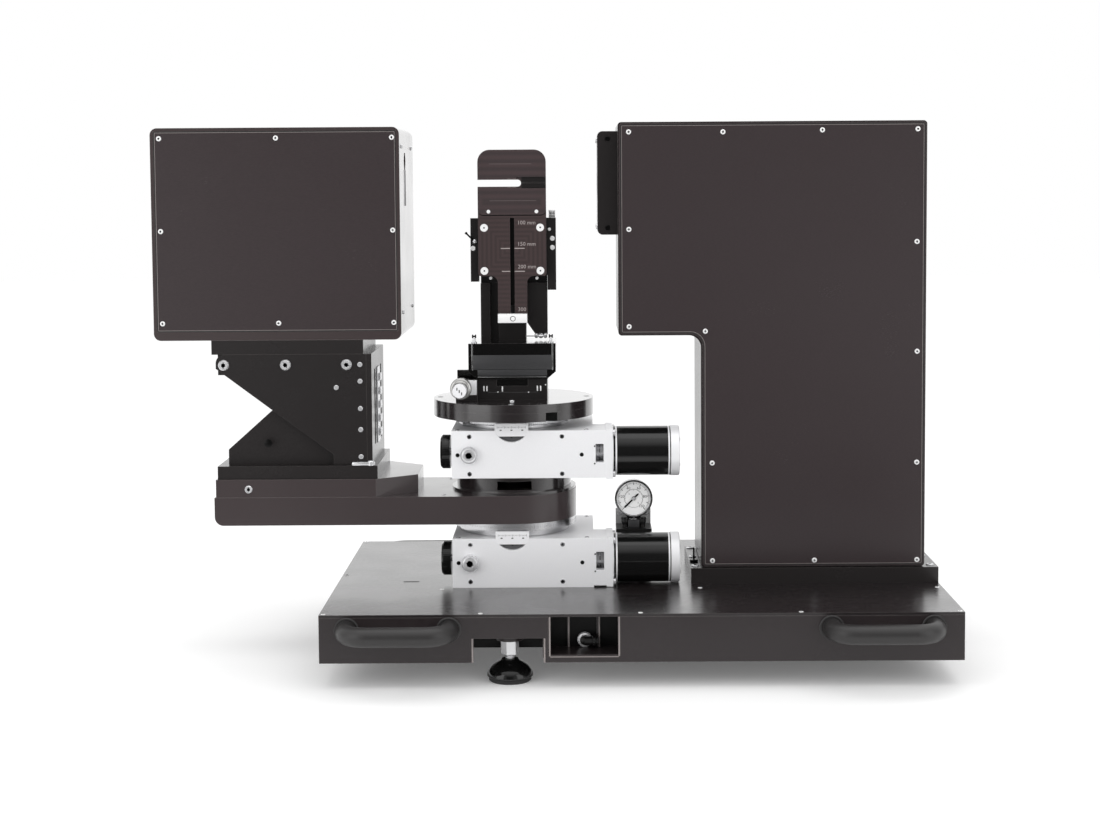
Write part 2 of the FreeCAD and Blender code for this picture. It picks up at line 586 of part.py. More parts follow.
# Detector arm: a thick bar with a round end on the lower rotor, and the spacer above it.
def build_arm():
    bar = block((axis_x - size.arm_reach, axis_x), (-size.arm_half_width, size.arm_half_width),
                (arm_bottom, arm_top))
    disc = rod("Z", (axis_x, ZERO), size.arm_half_width, (arm_bottom, arm_top))
    left_x = (axis_x - size.arm_reach).value
    low_z = arm_bottom.value

    def lower_left(ends):
        return all(abs(end.x - left_x) < 0.01 and abs(end.z - low_z) < 0.01 for end in ends)

    keep("detector_arm", soften(join(bar, disc), size.arm_edge, lower_left))
    drum = turned("Z", (axis_x, ZERO, arm_top), [
        (size.spacer_bore, 0), (size.arm_half_width - 0.5, 0),
        (size.arm_half_width - 0.5, size.spacer_rim), (size.spacer_radius, size.spacer_rim),
        (size.spacer_radius, size.spacer_rise), (size.spacer_bore, size.spacer_rise)])
    window_bottom = arm_top + (size.spacer_rise - size.spacer_window_rise) / 2
    window = block((axis_x - size.spacer_window_left, axis_x + size.spacer_window_right),
                   (-size.arm_half_width, -size.spacer_bore / 2),
                   (window_bottom, window_bottom + size.spacer_window_rise))
    keep("arm_spacer", cut(drum, window))


# Stand of the detector box: foot plates, crossing V plates, an end plate and a top block.
def build_stand():
    left, right = axis_x - size.stand_left, axis_x - size.stand_right
    half = size.arm_half_width
    foot_top = arm_top + size.stand_foot_rise
    nose_x = axis_x - size.nose_reach
    foot = plate("XY", (arm_top, foot_top), [
        (left, -half), (right, -half), (nose_x, -size.nose_half_width),
        (nose_x, size.nose_half_width), (right, half), (left, half)])
    keep("stand_foot", foot)

    side_bottom = foot_top + size.stand_plate_rise
    inset = size.stand_plate_inset
    side = size.stand_half_depth
    inner_face = side - size.side_plate * 2
    upper = block((left + inset, right + inset), (inset - half, half - inset), (foot_top, side_bottom))
    rib = block((axis_x - size.inner_left, axis_x - size.side_right),
                (-inner_face, inner_face), (side_bottom, side_bottom + size.stand_rib_rise))
    keep("stand_ribbed_plate", join(upper, rib))

    top_bottom = beam_box_bottom() - size.top_block_rise
    apex = (axis_x - size.v_apex_reach, (side_bottom + top_bottom) / 2)
    edge_x = axis_x - size.side_right
    step_x = axis_x - size.side_step_reach
    outer = [(axis_x - size.side_left, top_bottom), (edge_x, top_bottom), (edge_x, side_bottom),
             (step_x, side_bottom), (step_x, side_bottom + size.side_step_rise), apex,
             (axis_x - size.side_left, top_bottom - size.side_corner_drop)]
    inner = [(axis_x - size.inner_left, side_bottom), (edge_x, side_bottom),
             (edge_x, top_bottom - size.top_bar_rise), (step_x, top_bottom - size.top_bar_rise),
             apex, (axis_x - size.inner_left, side_bottom + size.inner_rise)]
    sides = []
    for sign in (-1, 1):
        near, middle, far = side * sign, (side - size.side_plate) * sign, inner_face * sign
        outer_span = (near, middle) if sign < 0 else (middle, near)
        inner_span = (middle, far) if sign < 0 else (far, middle)
        sides.append(plate("XZ", outer_span, outer, rounds=[([outer[0]], size.side_corner)]))
        sides.append(plate("XZ", inner_span, inner))
    keep("stand_side_plates", group(*sides))

    end = block((edge_x, edge_x + size.end_plate), (-side, side), (side_bottom, top_bottom))
    slot_half = size.end_slot_width / 2
    margin = size.end_slot_margin
    slots = [block((edge_x, edge_x + size.end_plate), (y - slot_half, y + slot_half),
                   (side_bottom + margin, top_bottom - margin)) for y in (-side / 2, side / 2)]
    keep("stand_end_plate", cut(end, *slots))

    flange = block((axis_x - size.top_block_left, axis_x - size.top_block_right),
                   (-side, side), (top_bottom, beam_box_bottom()))
    bar_half = side - size.side_plate
    bar = block((axis_x - size.side_left + size.top_bar_inset, edge_x), (-bar_half, bar_half),
                (top_bottom - size.top_bar_rise, top_bottom))
    keep("stand_top_block", join(flange, bar))


def beam_box_bottom():
    """Height of the detector box's underside."""
    return size.beam_height - size.box_below_beam


# Detector box: a rounded frame, two covers and the beam slot in its inner side.
def build_box():
    left, right = axis_x - size.box_outer_reach, axis_x - size.box_inner_reach
    bottom = beam_box_bottom()
    top = bottom + size.box_rise
    wall = size.box_wall
    outer = [(left, bottom), (right, bottom), (right, top), (left, top)]
    inner = [(left + wall, bottom + size.box_sill), (right - wall, bottom + size.box_sill),
             (right - wall, top - wall), (left + wall, top - wall)]
    shell = plate("XZ", (-size.box_front, size.box_rear), outer, holes=[inner],
                  rounds=[(outer, size.box_corner)])
    rim = size.box_rim
    cover_outline = [(left + rim, bottom + size.box_sill - rim),
                     (right - rim, bottom + size.box_sill - rim),
                     (right - rim, top - rim), (left + rim, top - rim)]
    front_span = (-size.box_front, size.box_cover - size.box_front)
    rear_span = (size.box_rear - size.box_cover, size.box_rear)
    rebates = [plate("XZ", span, cover_outline) for span in (front_span, rear_span)]
    slot = block((right - wall, right), (-size.slot_half_width, size.slot_half_width),
                 (size.beam_height - size.slot_below, size.beam_height + size.slot_above))
    head = rod("X", (ZERO, size.beam_height + size.slot_above - size.slot_head_radius),
               size.slot_head_radius, (right - wall, right))
    keep("box_frame", cut(shell, slot, head, *rebates))
    covers = [plate("XZ", span, cover_outline) for span in (front_span, rear_span)]
    keep("box_covers", group(*covers))

    floor = bottom + size.box_sill
    margin = size.bench_margin
    bench_top = floor + size.bench_thickness
    bench = block((left + wall + margin, right - wall - margin),
                  (margin + size.box_cover - size.box_front, size.box_rear - size.box_cover - margin),
                  (floor, bench_top))
    half_block = size.rotor_block_side / 2
    blocks, bores, rotors = [], [], []
    first_block = right - wall - margin - size.rotor_block_length
    for start in (first_block, first_block - size.rotor_block_pitch):
        span = (start, start + size.rotor_block_length)
        blocks.append(block(span, (-half_block, half_block),
                            (bench_top, size.beam_height + half_block)))
        bores.append(rod("X", (ZERO, size.beam_height), size.optic_rotor_radius + size.rotor_fit, span))
        rotor = rod("X", (ZERO, size.beam_height), size.optic_rotor_radius, span)
        aperture = rod("X", (ZERO, size.beam_height), size.optic_bore, span)
        rotors.append(cut(rotor, aperture))
    keep("optics_bench", cut(join(bench, *blocks), *bores))
    keep("compensator_rotor", rotors[0])
    keep("analyser_rotor", rotors[1])
    dewar_x = left + wall + size.dewar_gap + size.dewar_radius
    dewar = rod("Z", (dewar_x, ZERO), size.dewar_radius,
                (bench_top, size.beam_height + size.dewar_above_beam))
    nose = rod("X", (ZERO, size.beam_height), size.detector_radius,
               (dewar_x, dewar_x + size.detector_length))
    keep("detector_dewar", join(dewar, nose))


# Column: an L shaped frame with two covers on a bolted flange.
def column_outline(margin):
    left, right = axis_x + size.column_left + margin, column_right - margin
    leg = axis_x + size.column_leg_left + margin
    bottom, top = base_top + size.flange_rise + margin, column_top - margin
    step = column_step + margin
    return [(left, step), (leg, step), (leg, bottom), (right, bottom), (right, top), (left, top)]


def build_column():
    outer = column_outline(ZERO)
    inner = column_outline(size.column_wall)
    body_front = size.column_cover - size.column_front
    body_rear = size.column_rear - size.column_cover
    corners = [outer[index] for index in (0, 2, 3, 4, 5)]
    frame = plate("XZ", (body_front, body_rear), outer, holes=[inner],
                  rounds=[(corners, size.column_corner), ([outer[1]], size.notch_corner)])
    beam_hole = rod("X", (ZERO, size.beam_height), size.snout_window,
                    (axis_x + size.column_left, axis_x + size.column_left + size.column_wall))
    keep("column_frame", cut(frame, beam_hole))
    panel = column_outline(size.cover_inset)
    panel_corners = [panel[index] for index in (0, 2, 3, 4, 5)]
    covers = [plate("XZ", span, panel,
                    rounds=[(panel_corners, size.column_corner), ([panel[1]], size.notch_corner)])
              for span in ((-size.column_front, body_front), (body_rear, size.column_rear))]
    keep("column_covers", group(*covers))
    margin = size.flange_margin
    flange = block((axis_x + size.flange_left, base_right),
                   (-size.column_front - margin, size.column_rear + margin),
                   (base_top, base_top + size.flange_rise))
    keep("column_flange", flange)

    left, right = axis_x + size.snout_reach, axis_x + size.column_left
    half = size.snout_half_width
    low = size.beam_height - size.snout_below_beam
    high = size.beam_height + size.snout_above_beam
    snout_outline = [(left, low), (right, low), (right, high), (left, high)]
    shell = plate("XZ", (-half, half), snout_outline,
                  rounds=[([snout_outline[0], snout_outline[3]], size.snout_corner)])
    lip_end = left + size.snout_lip
    window = rod("X", (ZERO, size.beam_height), size.snout_window, (left, lip_end))
    seat = rod("X", (ZERO, size.beam_height), size.optic_rotor_radius + size.rotor_fit,
               (lip_end, right))
    keep("snout", cut(shell, window, seat))
    ring_span = (lip_end + size.optic_gap, right - size.optic_gap)
    ring = rod("X", (ZERO, size.beam_height), size.optic_rotor_radius, ring_span)
    aperture = rod("X", (ZERO, size.beam_height), size.optic_bore, ring_span)
    keep("polariser_rotor", cut(ring, aperture))


# Spectrometer: a bed on the column's inner wall, a scanning mirror and the glowing source.
def build_spectrometer():
    wall_x = column_right - size.column_wall
    bed_left = wall_x - size.bed_length
    half = size.bed_half_width
    bed_bottom = size.beam_height - size.bed_drop
    bed_top = bed_bottom + size.bed_rise
    bed = block((bed_left, wall_x), (-half, half), (bed_bottom, bed_top))
    groove_half = size.scan_groove / 2
    groove = block((bed_left, wall_x), (-groove_half, groove_half),
                   (bed_top - size.scan_groove_depth, bed_top))
    source_x = wall_x - size.source_radius - size.source_seat
    source_z = bed_top + size.source_radius - size.source_seat
    source = rod("Y", (source_x, source_z), size.source_radius,
                 (-size.source_length / 2, size.source_length / 2))
    keep("spectrometer_bed", join(cut(bed, groove), source))
    gap = size.scan_gap
    start = bed_left + size.scan_inset
    shoe = block((start, start + size.scan_length), (gap - groove_half, groove_half - gap),
                 (bed_top - size.scan_groove_depth + gap, bed_top + gap))
    mirror_z = bed_top + gap + size.scan_mirror_radius
    mirror = rod("X", (ZERO, mirror_z), size.scan_mirror_radius,
                 (start, start + size.scan_mirror_thickness))
    post = block((start, start + size.scan_mirror_thickness), (gap - groove_half, groove_half - gap),
                 (bed_top + gap, mirror_z))
    keep("scan_mirror", join(shoe, mirror, post))


# Sample table: two stacked discs on the upper rotor, and the base of the cross slide.
def build_table():
    disc = rod("Z", (axis_x, ZERO), size.table_radius, (table_bottom, table_middle))
    notch = block((axis_x + size.notch_near, axis_x + size.notch_far),
                  (-size.table_radius, size.notch_depth - size.table_radius),
                  (table_bottom, table_middle))
    upper = rod("Z", (axis_x, ZERO), size.table_radius, (table_middle, table_top))
    holes = [rod("Z", (axis_x + size.table_hole_circle * sign, ZERO), size.table_hole_radius,
                 (table_middle, table_top)) for sign in (-1, 1)]
    keep("table_discs", group(cut(disc, notch), cut(upper, *holes)))

    half_width, half_depth = size.cross_half_width, size.cross_half_depth
    cross_top = table_top + size.cross_rise
    base = block((axis_x - half_width, axis_x + half_width), (-half_depth, half_depth),
                 (table_top, cross_top))
    groove_half = size.cross_groove / 2
    groove = block((axis_x - groove_half, axis_x + groove_half), (-half_depth, half_depth),
                   (cross_top - size.cross_groove_depth, cross_top))
    screw_x = axis_x - size.micrometer_offset
    screw_z = table_top + size.micrometer_lift
    reach = size.thimble_radius
    bracket = block((screw_x - reach, axis_x - half_width), (-size.bracket_far, -size.bracket_near),
                    (table_top, screw_z + reach))
    body = join(cut(base, groove), bracket)
    sleeve_end = size.thimble_length - size.thimble_front - size.sleeve_overlap
    sleeve = rod("Y", (screw_x, screw_z), size.sleeve_radius, (sleeve_end, -size.bracket_far))
    spindle_bore = rod("Y", (screw_x, screw_z), size.spindle_radius + size.pin_fit,
                       (sleeve_end, -size.bracket_near))
    keep("cross_base", cut(join(body, sleeve), spindle_bore))

    thimble_start = -size.thimble_front
    spindle_start = thimble_start + size.ratchet_length
    spindle = rod("Y", (screw_x, screw_z), size.spindle_radius, (spindle_start, -size.tab_front))
    keep("micrometer_spindle", spindle)
    bore = size.sleeve_radius + size.thimble_fit
    thimble = turned("Y", (screw_x, thimble_start, screw_z), [
        (0, 0 - size.ratchet_length), (size.ratchet_radius, 0 - size.ratchet_length),
        (size.ratchet_radius, 0), (size.thimble_radius, 0),
        (size.thimble_radius, size.thimble_length - size.thimble_bevel),
        (size.thimble_radius - 1, size.thimble_length),
        (bore, size.thimble_length), (bore, size.ratchet_length + 1),
        (size.spindle_radius + size.pin_fit, size.ratchet_length + 1),
        (size.spindle_radius + size.pin_fit, size.ratchet_length),
        (0, size.ratchet_length)])
    keep("micrometer_thimble", thimble)


# Cross slide: a chamfered block with the tower that carries the tilting sample plate.
def build_slide():
    low = table_top + size.cross_rise + size.cross_gap
    top = slide_top
    chamfer = low + size.slide_chamfer_rise
    wide, narrow = size.slide_half_width, size.cross_half_width
    body = plate("XZ", (-size.slide_front, size.slide_rear), [
        (axis_x - narrow, low), (axis_x + narrow, low), (axis_x + wide, chamfer),
        (axis_x + wide, top), (axis_x - wide, top), (axis_x - wide, chamfer)])
    groove_half = size.cross_groove / 2 - size.cross_gap
    key = block((axis_x - groove_half, axis_x + groove_half),
                (-size.cross_half_depth, size.cross_half_depth),
                (low - size.cross_groove_depth, low))
    screw_x = axis_x - size.micrometer_offset
    tab = block((screw_x - size.thimble_radius, axis_x - narrow - size.tab_gap),
                (-size.tab_front, size.tab_thickness - size.tab_front), (low - size.tab_drop, chamfer))
    keep("slide_block", join(body, key, tab))
    flange_rise = size.adjuster_rise / 3
    adjusters = [turned("Z", (axis_x + (wide - size.adjuster_inset) * sign, -size.adjuster_front, top), [
        (0, 0), (size.adjuster_radius, 0), (size.adjuster_radius, flange_rise),
        (size.adjuster_neck, flange_rise), (size.adjuster_neck, flange_rise * 2),
        (size.adjuster_radius, flange_rise * 2), (size.adjuster_radius, size.adjuster_rise),
        (0, size.adjuster_rise)]) for sign in (-1, 1)]
    keep("slide_adjusters", group(*adjusters))

    middle = axis_x + size.tower_middle
    brace_x = axis_x + size.brace_reach
    right = axis_x + size.tower_right
    left = axis_x - size.tower_left
    shoulder = size.beam_height - size.tower_shoulder_drop * stack_share
    lower = plate("XZ", (size.tower_front, size.tower_rear), [
        (left, top), (middle, top), (middle, top + size.tower_gap_rise),
        (brace_x, top + size.brace_lift), (right, top + size.brace_lift),
        (right, shoulder), (left, shoulder)])
    recess = block((axis_x - size.tower_recess_left, axis_x - size.tower_recess_right),
                   (size.tower_front, size.tower_front + size.tower_recess_depth), (top, shoulder))
    upper = block((left, right), (size.tower_neck_front, size.tower_rear), (shoulder, tilt_top))
    seat = rod("X", (size.tilt_axis_depth, tilt_axis_height), size.tilt_pin + size.pin_fit,
               (left, right))
    keep("tower", cut(join(cut(lower, recess), upper), seat))


# Tilting sample plate: tilt block, T plate, transmission plate, screws, ledge and tip knob.
def build_sample_plate():
    tilt_left, tilt_right = axis_x - size.tilt_left, axis_x + size.tilt_right
    half = size.plate_half_width
    lug_x = axis_x + size.tower_right + size.lug_gap
    block_body = plate("XZ", (size.tilt_front, size.tilt_rear), [
        (tilt_left, tilt_bottom - size.tilt_left_drop),
        (axis_x - half, tilt_bottom - size.tilt_left_drop), (axis_x - half, tilt_bottom),
        (lug_x, tilt_bottom), (lug_x, tilt_bottom - size.tilt_right_drop),
        (tilt_right, tilt_bottom - size.tilt_right_drop), (tilt_right, tilt_top),
        (tilt_left, tilt_top)])
    pin = rod("X", (size.tilt_axis_depth, tilt_axis_height), size.tilt_pin,
              (axis_x - size.tower_left, axis_x + size.tower_right))
    keep("tilt_block", join(block_body, pin))

    stem = size.stem_half_width
    outline = [(axis_x - half, plate_bottom), (axis_x - stem, plate_bottom),
               (axis_x - stem, stem_bottom), (axis_x + stem, stem_bottom),
               (axis_x + stem, plate_bottom), (axis_x + half, plate_bottom),
               (axis_x + half, plate_top), (axis_x - half, plate_top)]
    screw_x = half - size.plate_screw_inset
    spots = [(axis_x + screw_x * sign, height) for sign in (-1, 1)
             for height in (size.beam_height - size.plate_screw_upper_drop * stack_share,
                            size.beam_height - size.plate_screw_lower_drop * stack_share)]
    shank_hole = size.screw_shank + size.screw_fit
    sample_plate = plate("XZ", (ZERO, size.plate_thickness), outline,
                         circles=[(spot, shank_hole) for spot in spots],
                         rounds=[([outline[1], outline[4]], size.stem_corner),
                                 ([outline[0], outline[5]], size.plate_corner)])
    groove_half = size.groove_half_width
    groove = block((axis_x - groove_half, axis_x + groove_half), (ZERO, size.groove_depth),
                   (stem_bottom, plate_top - size.plate_screw_inset / 2))
    head_end = size.plate_screw_sink + size.plate_screw_rise
    counterbores = [rod("Y", spot, size.plate_screw_radius + size.screw_fit, (ZERO, head_end))
                    for spot in spots]
    upper_top = size.beam_height + size.upper_plate_above_beam
    top_outline = [(axis_x - half, plate_top), (axis_x + half, plate_top),
                   (axis_x + half, upper_top), (axis_x - half, upper_top)]
    top_rounds = [(top_outline[2:], size.upper_corner), (top_outline[:2], size.lower_corner)]
    # Two ears of the sample plate fill the transmission plate's lower corners.
    ears = block((axis_x - half, axis_x + half), (ZERO, size.plate_thickness),
                 (plate_top, plate_top + size.ear_rise))
    ears = cut(ears, plate("XZ", (ZERO, size.plate_thickness), top_outline, rounds=top_rounds))
    keep("sample_plate", cut(join(sample_plate, ears), groove, *counterbores))
    screws = []
    for spot in spots:
        head = rod("Y", spot, size.plate_screw_radius, (size.plate_screw_sink, head_end))
        shank = rod("Y", spot, size.screw_shank, (head_end, size.plate_thickness))
        screws.append(join(head, shank))
    keep("sample_plate_screws", group(*screws))

    upper = plate("XZ", (ZERO, size.upper_plate_thickness), top_outline, rounds=top_rounds)
    slot = block((axis_x - half, axis_x), (ZERO, size.upper_plate_thickness),
                 (size.beam_height - size.beam_slot, size.beam_height + size.beam_slot))
    slot_end = rod("Y", (axis_x, size.beam_height), size.beam_slot, (ZERO, size.upper_plate_thickness))
    milled = block((axis_x + size.milled_start, axis_x + half), (ZERO, size.milled_depth),
                   (size.beam_height - size.milled_half_rise, size.beam_height + size.milled_half_rise))
    keep("transmission_plate", cut(upper, slot, slot_end, milled))

    gap = size.ledge_gap
    ledge = block((axis_x - stem, axis_x + stem), (-size.ledge_depth, -gap),
                  (stem_bottom - size.ledge_rise, stem_bottom))
    tongue_half = groove_half - gap
    tongue = block((axis_x - tongue_half, axis_x + tongue_half), (-gap, size.groove_depth - gap),
                   (stem_bottom - size.ledge_rise, stem_bottom + size.tongue_lift))
    keep("sample_ledge", join(ledge, tongue))

    knob_x = axis_x + size.tip_knob_offset
    keep("tip_knob", rod("Z", (knob_x, size.tip_knob_depth), size.tip_knob_radius,
                         (tilt_top, tilt_top + size.tip_knob_rise)))


# Pressure gauge on its manifold, carried by a sheet bracket behind the lower motor.
def build_gauge():
    x = axis_x + size.gauge_offset
    half = size.manifold_half_width
    sheet_span = (size.bracket_front, size.bracket_front + size.bracket_sheet)
    bracket = block((x - half, x + half), sheet_span, (base_top, size.bracket_top))
    keep("gauge_bracket", bracket)
    manifold_top = size.manifold_bottom + size.manifold_rise
    body = block((x - half, x + half), (-size.manifold_front, size.bracket_front),
                 (size.manifold_bottom, manifold_top))
    stem_y = size.gauge_depth / 2 - size.gauge_front
    flare_end = size.fitting_neck_rise * 2
    fittings = [turned("Z", (x + size.fitting_pitch / 2 * sign, stem_y, manifold_top), [
        (0, 0), (size.fitting_neck, 0), (size.fitting_neck, size.fitting_neck_rise),
        (size.fitting_radius, flare_end), (size.fitting_radius, size.fitting_rise),
        (0, size.fitting_rise)]) for sign in (-1, 1)]
    keep("gauge_manifold", join(body, *fittings))
    face_y = -size.gauge_front
    case = turned("Y", (x, face_y, size.gauge_height), [
        (0, size.dial_recess), (size.gauge_radius - size.gauge_rim, size.dial_recess),
        (size.gauge_radius - size.gauge_rim, 0), (size.gauge_radius, 0),
        (size.gauge_radius, size.gauge_depth), (0, size.gauge_depth)])
    case_low = size.gauge_height - size.gauge_radius + size.stem_overlap
    stem = rod("Z", (x, stem_y), size.gauge_stem, (manifold_top, case_low))
    nut = rod("Z", (x, stem_y), size.gauge_nut, (case_low - size.gauge_nut_rise, case_low))
    dial_y = face_y + size.dial_recess
    pin_bore = rod("Y", (x, size.gauge_height), size.needle_pin + size.needle_fit,
                   (dial_y, dial_y + size.needle_seat + size.needle_lift))
    keep("gauge_case", cut(join(case, stem, nut), pin_bore))
    needle_y = (dial_y - size.needle_thickness - size.needle_lift, dial_y - size.needle_lift)
    hub = rod("Y", (x, size.gauge_height), size.needle_hub, needle_y)
    pin = rod("Y", (x, size.gauge_height), size.needle_pin, (needle_y[1], dial_y + size.needle_seat))
    pointer = document.addObject("Part::Box", "pointer")
    bind(pointer, Length=size.needle_length + size.needle_tail, Width=size.needle_thickness,
         Height=size.needle_half_width * 2)
    # The pointer rests on its zero, down to the left at 45 degrees.
    slant = 0.70711
    pointer.Placement = FreeCAD.Placement(
        FreeCAD.Vector(), FreeCAD.Rotation(FreeCAD.Vector(0, 1, 0), -45))
    start_x = x - size.needle_length * slant + size.needle_half_width * slant
    start_z = size.gauge_height - size.needle_length * slant - size.needle_half_width * slant
    place(pointer, start_x, needle_y[0], start_z)
    keep("gauge_needle", join(hub, pin, pointer))


build_base()
build_feet()
build_handles()
build_inlet()
build_stage("lower_stage", lower_stage_bottom, size.lower_ring_rise, size.stage_foot)
build_arm()
build_stage("upper_stage", upper_stage_bottom, size.upper_ring_rise, ZERO)
build_stand()
build_box()
build_column()
build_spectrometer()
build_table()
build_slide()
build_sample_plate()
build_gauge()
document.recompute()

# Every object must have been rebuilt without an error, and every sub-part must be sound.
for item in document.Objects:
    if "Invalid" in item.State or "Error" in item.State:
        raise RuntimeError(f"{item.Label} did not rebuild: {item.State}")
for name, item in parts.items():
    if item.Shape.isNull() or not item.Shape.isValid():
        raise RuntimeError(f"{name} has no sound shape")

os.makedirs("parts", exist_ok=True)
for name, item in parts.items():
    item.Shape.exportStep(f"parts/{name}.step")
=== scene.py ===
"""The infrared ellipsometer, dressed: finishes for its machined parts, and the small fittings on them."""

import math

import bmesh
import bpy
from mathutils import Matrix, Vector


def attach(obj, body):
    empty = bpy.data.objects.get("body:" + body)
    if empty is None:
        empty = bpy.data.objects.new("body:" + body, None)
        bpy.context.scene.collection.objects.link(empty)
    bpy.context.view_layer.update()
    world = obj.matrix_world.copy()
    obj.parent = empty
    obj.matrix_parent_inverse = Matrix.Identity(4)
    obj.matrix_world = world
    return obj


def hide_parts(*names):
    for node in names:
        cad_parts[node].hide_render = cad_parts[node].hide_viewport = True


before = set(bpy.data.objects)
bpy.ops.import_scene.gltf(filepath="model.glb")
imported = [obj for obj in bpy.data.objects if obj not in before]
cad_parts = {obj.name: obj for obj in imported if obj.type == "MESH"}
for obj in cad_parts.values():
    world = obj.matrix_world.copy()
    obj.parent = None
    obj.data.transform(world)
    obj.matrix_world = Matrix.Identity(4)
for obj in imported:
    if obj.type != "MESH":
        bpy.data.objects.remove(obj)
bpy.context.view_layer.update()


# The studio: a white sweep behind and under the instrument, and two tall softboxes before it.
# Matt paper, so it takes a soft shadow; polished parts mirror the bright room behind them, and
# the darker one in front, where the camera stands in a black gap between two grey flats.
MM = 0.001
FRONT, REAR, LEFT, RIGHT, UP = (0, -1, 0), (0, 1, 0), (-1, 0, 0), (1, 0, 0), (0, 0, 1)
scene = bpy.context.scene
scene.view_settings.view_transform = "Standard"


def linear(hex_colour):
    """Turn an sRGB hex colour into the linear one that the shader works in."""
    shares = [int(hex_colour[i:i + 2], 16) / 255 for i in (1, 3, 5)]
    return [s / 12.92 if s <= 0.04045 else ((s + 0.055) / 1.055) ** 2.4 for s in shares] + [1.0]


def add_node(tree, kind, inputs=None, **settings):
    """Add one node with its settings, its plain values and the sockets that feed it."""
    made = tree.nodes.new(kind)
    for name, value in settings.items():
        setattr(made, name, value)
    for name, value in (inputs or {}).items():
        if isinstance(value, bpy.types.NodeSocket):
            tree.links.new(value, made.inputs[name])
        else:
            made.inputs[name].default_value = value
    return made


def empty_tree(owner):
    """Give a material, or the world, a node tree with nothing in it."""
    owner.use_nodes = True
    owner.node_tree.nodes.clear()
    return owner.node_tree


def maths(tree, operation, *terms):
    """One step of arithmetic on up to three terms; returns the socket of its result."""
    return add_node(tree, "ShaderNodeMath", dict(enumerate(terms)), operation=operation).outputs[0]


def ranged(tree, value, low, high, to_low=0.0, to_high=1.0):
    """Map a value from one range onto another; returns the socket of its result."""
    return add_node(tree, "ShaderNodeMapRange", {"Value": value, "From Min": low, "From Max": high,
                                                 "To Min": to_low, "To Max": to_high}).outputs[0]


def blended(tree, factor, first, second):
    """Blend two colours; returns the socket of the result."""
    return add_node(tree, "ShaderNodeMix", {"Factor": factor, "A": first, "B": second},
                    data_type="RGBA").outputs["Result"]


def either(tree, factor, first, second):
    """Mix two shaders; returns the socket of the result."""
    return add_node(tree, "ShaderNodeMixShader", {0: factor, 1: first, 2: second}).outputs[0]


WHITE = linear("#ffffff")
ROOM_LIGHT = 0.97
MIRROR_LIGHT = 1.15
scene.world = bpy.data.worlds.new("studio_air")
air = empty_tree(scene.world)
ray = add_node(air, "ShaderNodeLightPath").outputs
heading = add_node(air, "ShaderNodeSeparateXYZ",
                   {0: add_node(air, "ShaderNodeTexCoord").outputs["Generated"]}).outputs
before = ranged(air, maths(air, "ABSOLUTE", heading["X"]), 0.22, 0.36, 0.1, 0.45)
behind = ranged(air, heading["Y"], -0.1, 0.35, before, MIRROR_LIGHT)
above = ranged(air, heading["Z"], 0.35, 0.8, 0.0, MIRROR_LIGHT)
soft_light, white_room, mirror_room = [
    add_node(air, "ShaderNodeBackground", {"Color": WHITE, "Strength": strength}).outputs[0]
    for strength in (ROOM_LIGHT, 1.0, maths(air, "MAXIMUM", behind, above))]
lit = either(air, ray["Is Glossy Ray"], soft_light, mirror_room)
shown = maths(air, "MAXIMUM", ray["Is Camera Ray"], ray["Is Transmission Ray"])
add_node(air, "ShaderNodeOutputWorld", {"Surface": either(air, shown, lit, white_room)})

FLOOR_HALF = 9.0
FLOOR_WHITE_SHARE = 0.04
floor_paper = bpy.data.materials.new("matt_paper_floor")
paper = empty_tree(floor_paper)
paper_place = add_node(paper, "ShaderNodeTexCoord").outputs["Object"]
fibre = add_node(paper, "ShaderNodeTexNoise", {"Vector": paper_place, "Scale": 900.0})
tint = blended(paper, fibre.outputs["Fac"], WHITE, linear("#f8f8f8"))
matt = add_node(paper, "ShaderNodeBsdfDiffuse", {"Color": tint}).outputs[0]
glow = add_node(paper, "ShaderNodeEmission", {"Color": WHITE, "Strength": 2.9}).outputs[0]
paper_ray = add_node(paper, "ShaderNodeLightPath").outputs
straight = maths(paper, "MAXIMUM", paper_ray["Is Camera Ray"], paper_ray["Is Glossy Ray"])
seen = maths(paper, "MAXIMUM", straight, paper_ray["Is Transmission Ray"])
lit_floor = either(paper, maths(paper, "MULTIPLY", seen, FLOOR_WHITE_SHARE), matt, glow)
# Before the instrument the floor is dark in reflections, so upright faces stay deep black.
ahead = add_node(paper, "ShaderNodeSeparateXYZ", {0: paper_place}).outputs
flats = ranged(paper, maths(paper, "ABSOLUTE", ahead["X"]), 0.7, 0.9, 0.08, 0.6)
dark = add_node(paper, "ShaderNodeEmission", {"Color": WHITE, "Strength": flats}).outputs[0]
swap = maths(paper, "MULTIPLY", ranged(paper, ahead["Y"], -0.5, -0.8), paper_ray["Is Glossy Ray"])
add_node(paper, "ShaderNodeOutputMaterial", {"Surface": either(paper, swap, lit_floor, dark)})

floor_mesh = bmesh.new()
bmesh.ops.create_grid(floor_mesh, x_segments=1, y_segments=1, size=FLOOR_HALF)
floor = bpy.data.objects.new("paper_floor", bpy.data.meshes.new("paper_floor"))
floor_mesh.to_mesh(floor.data)
floor_mesh.free()
floor.data.materials.append(floor_paper)
scene.collection.objects.link(floor)

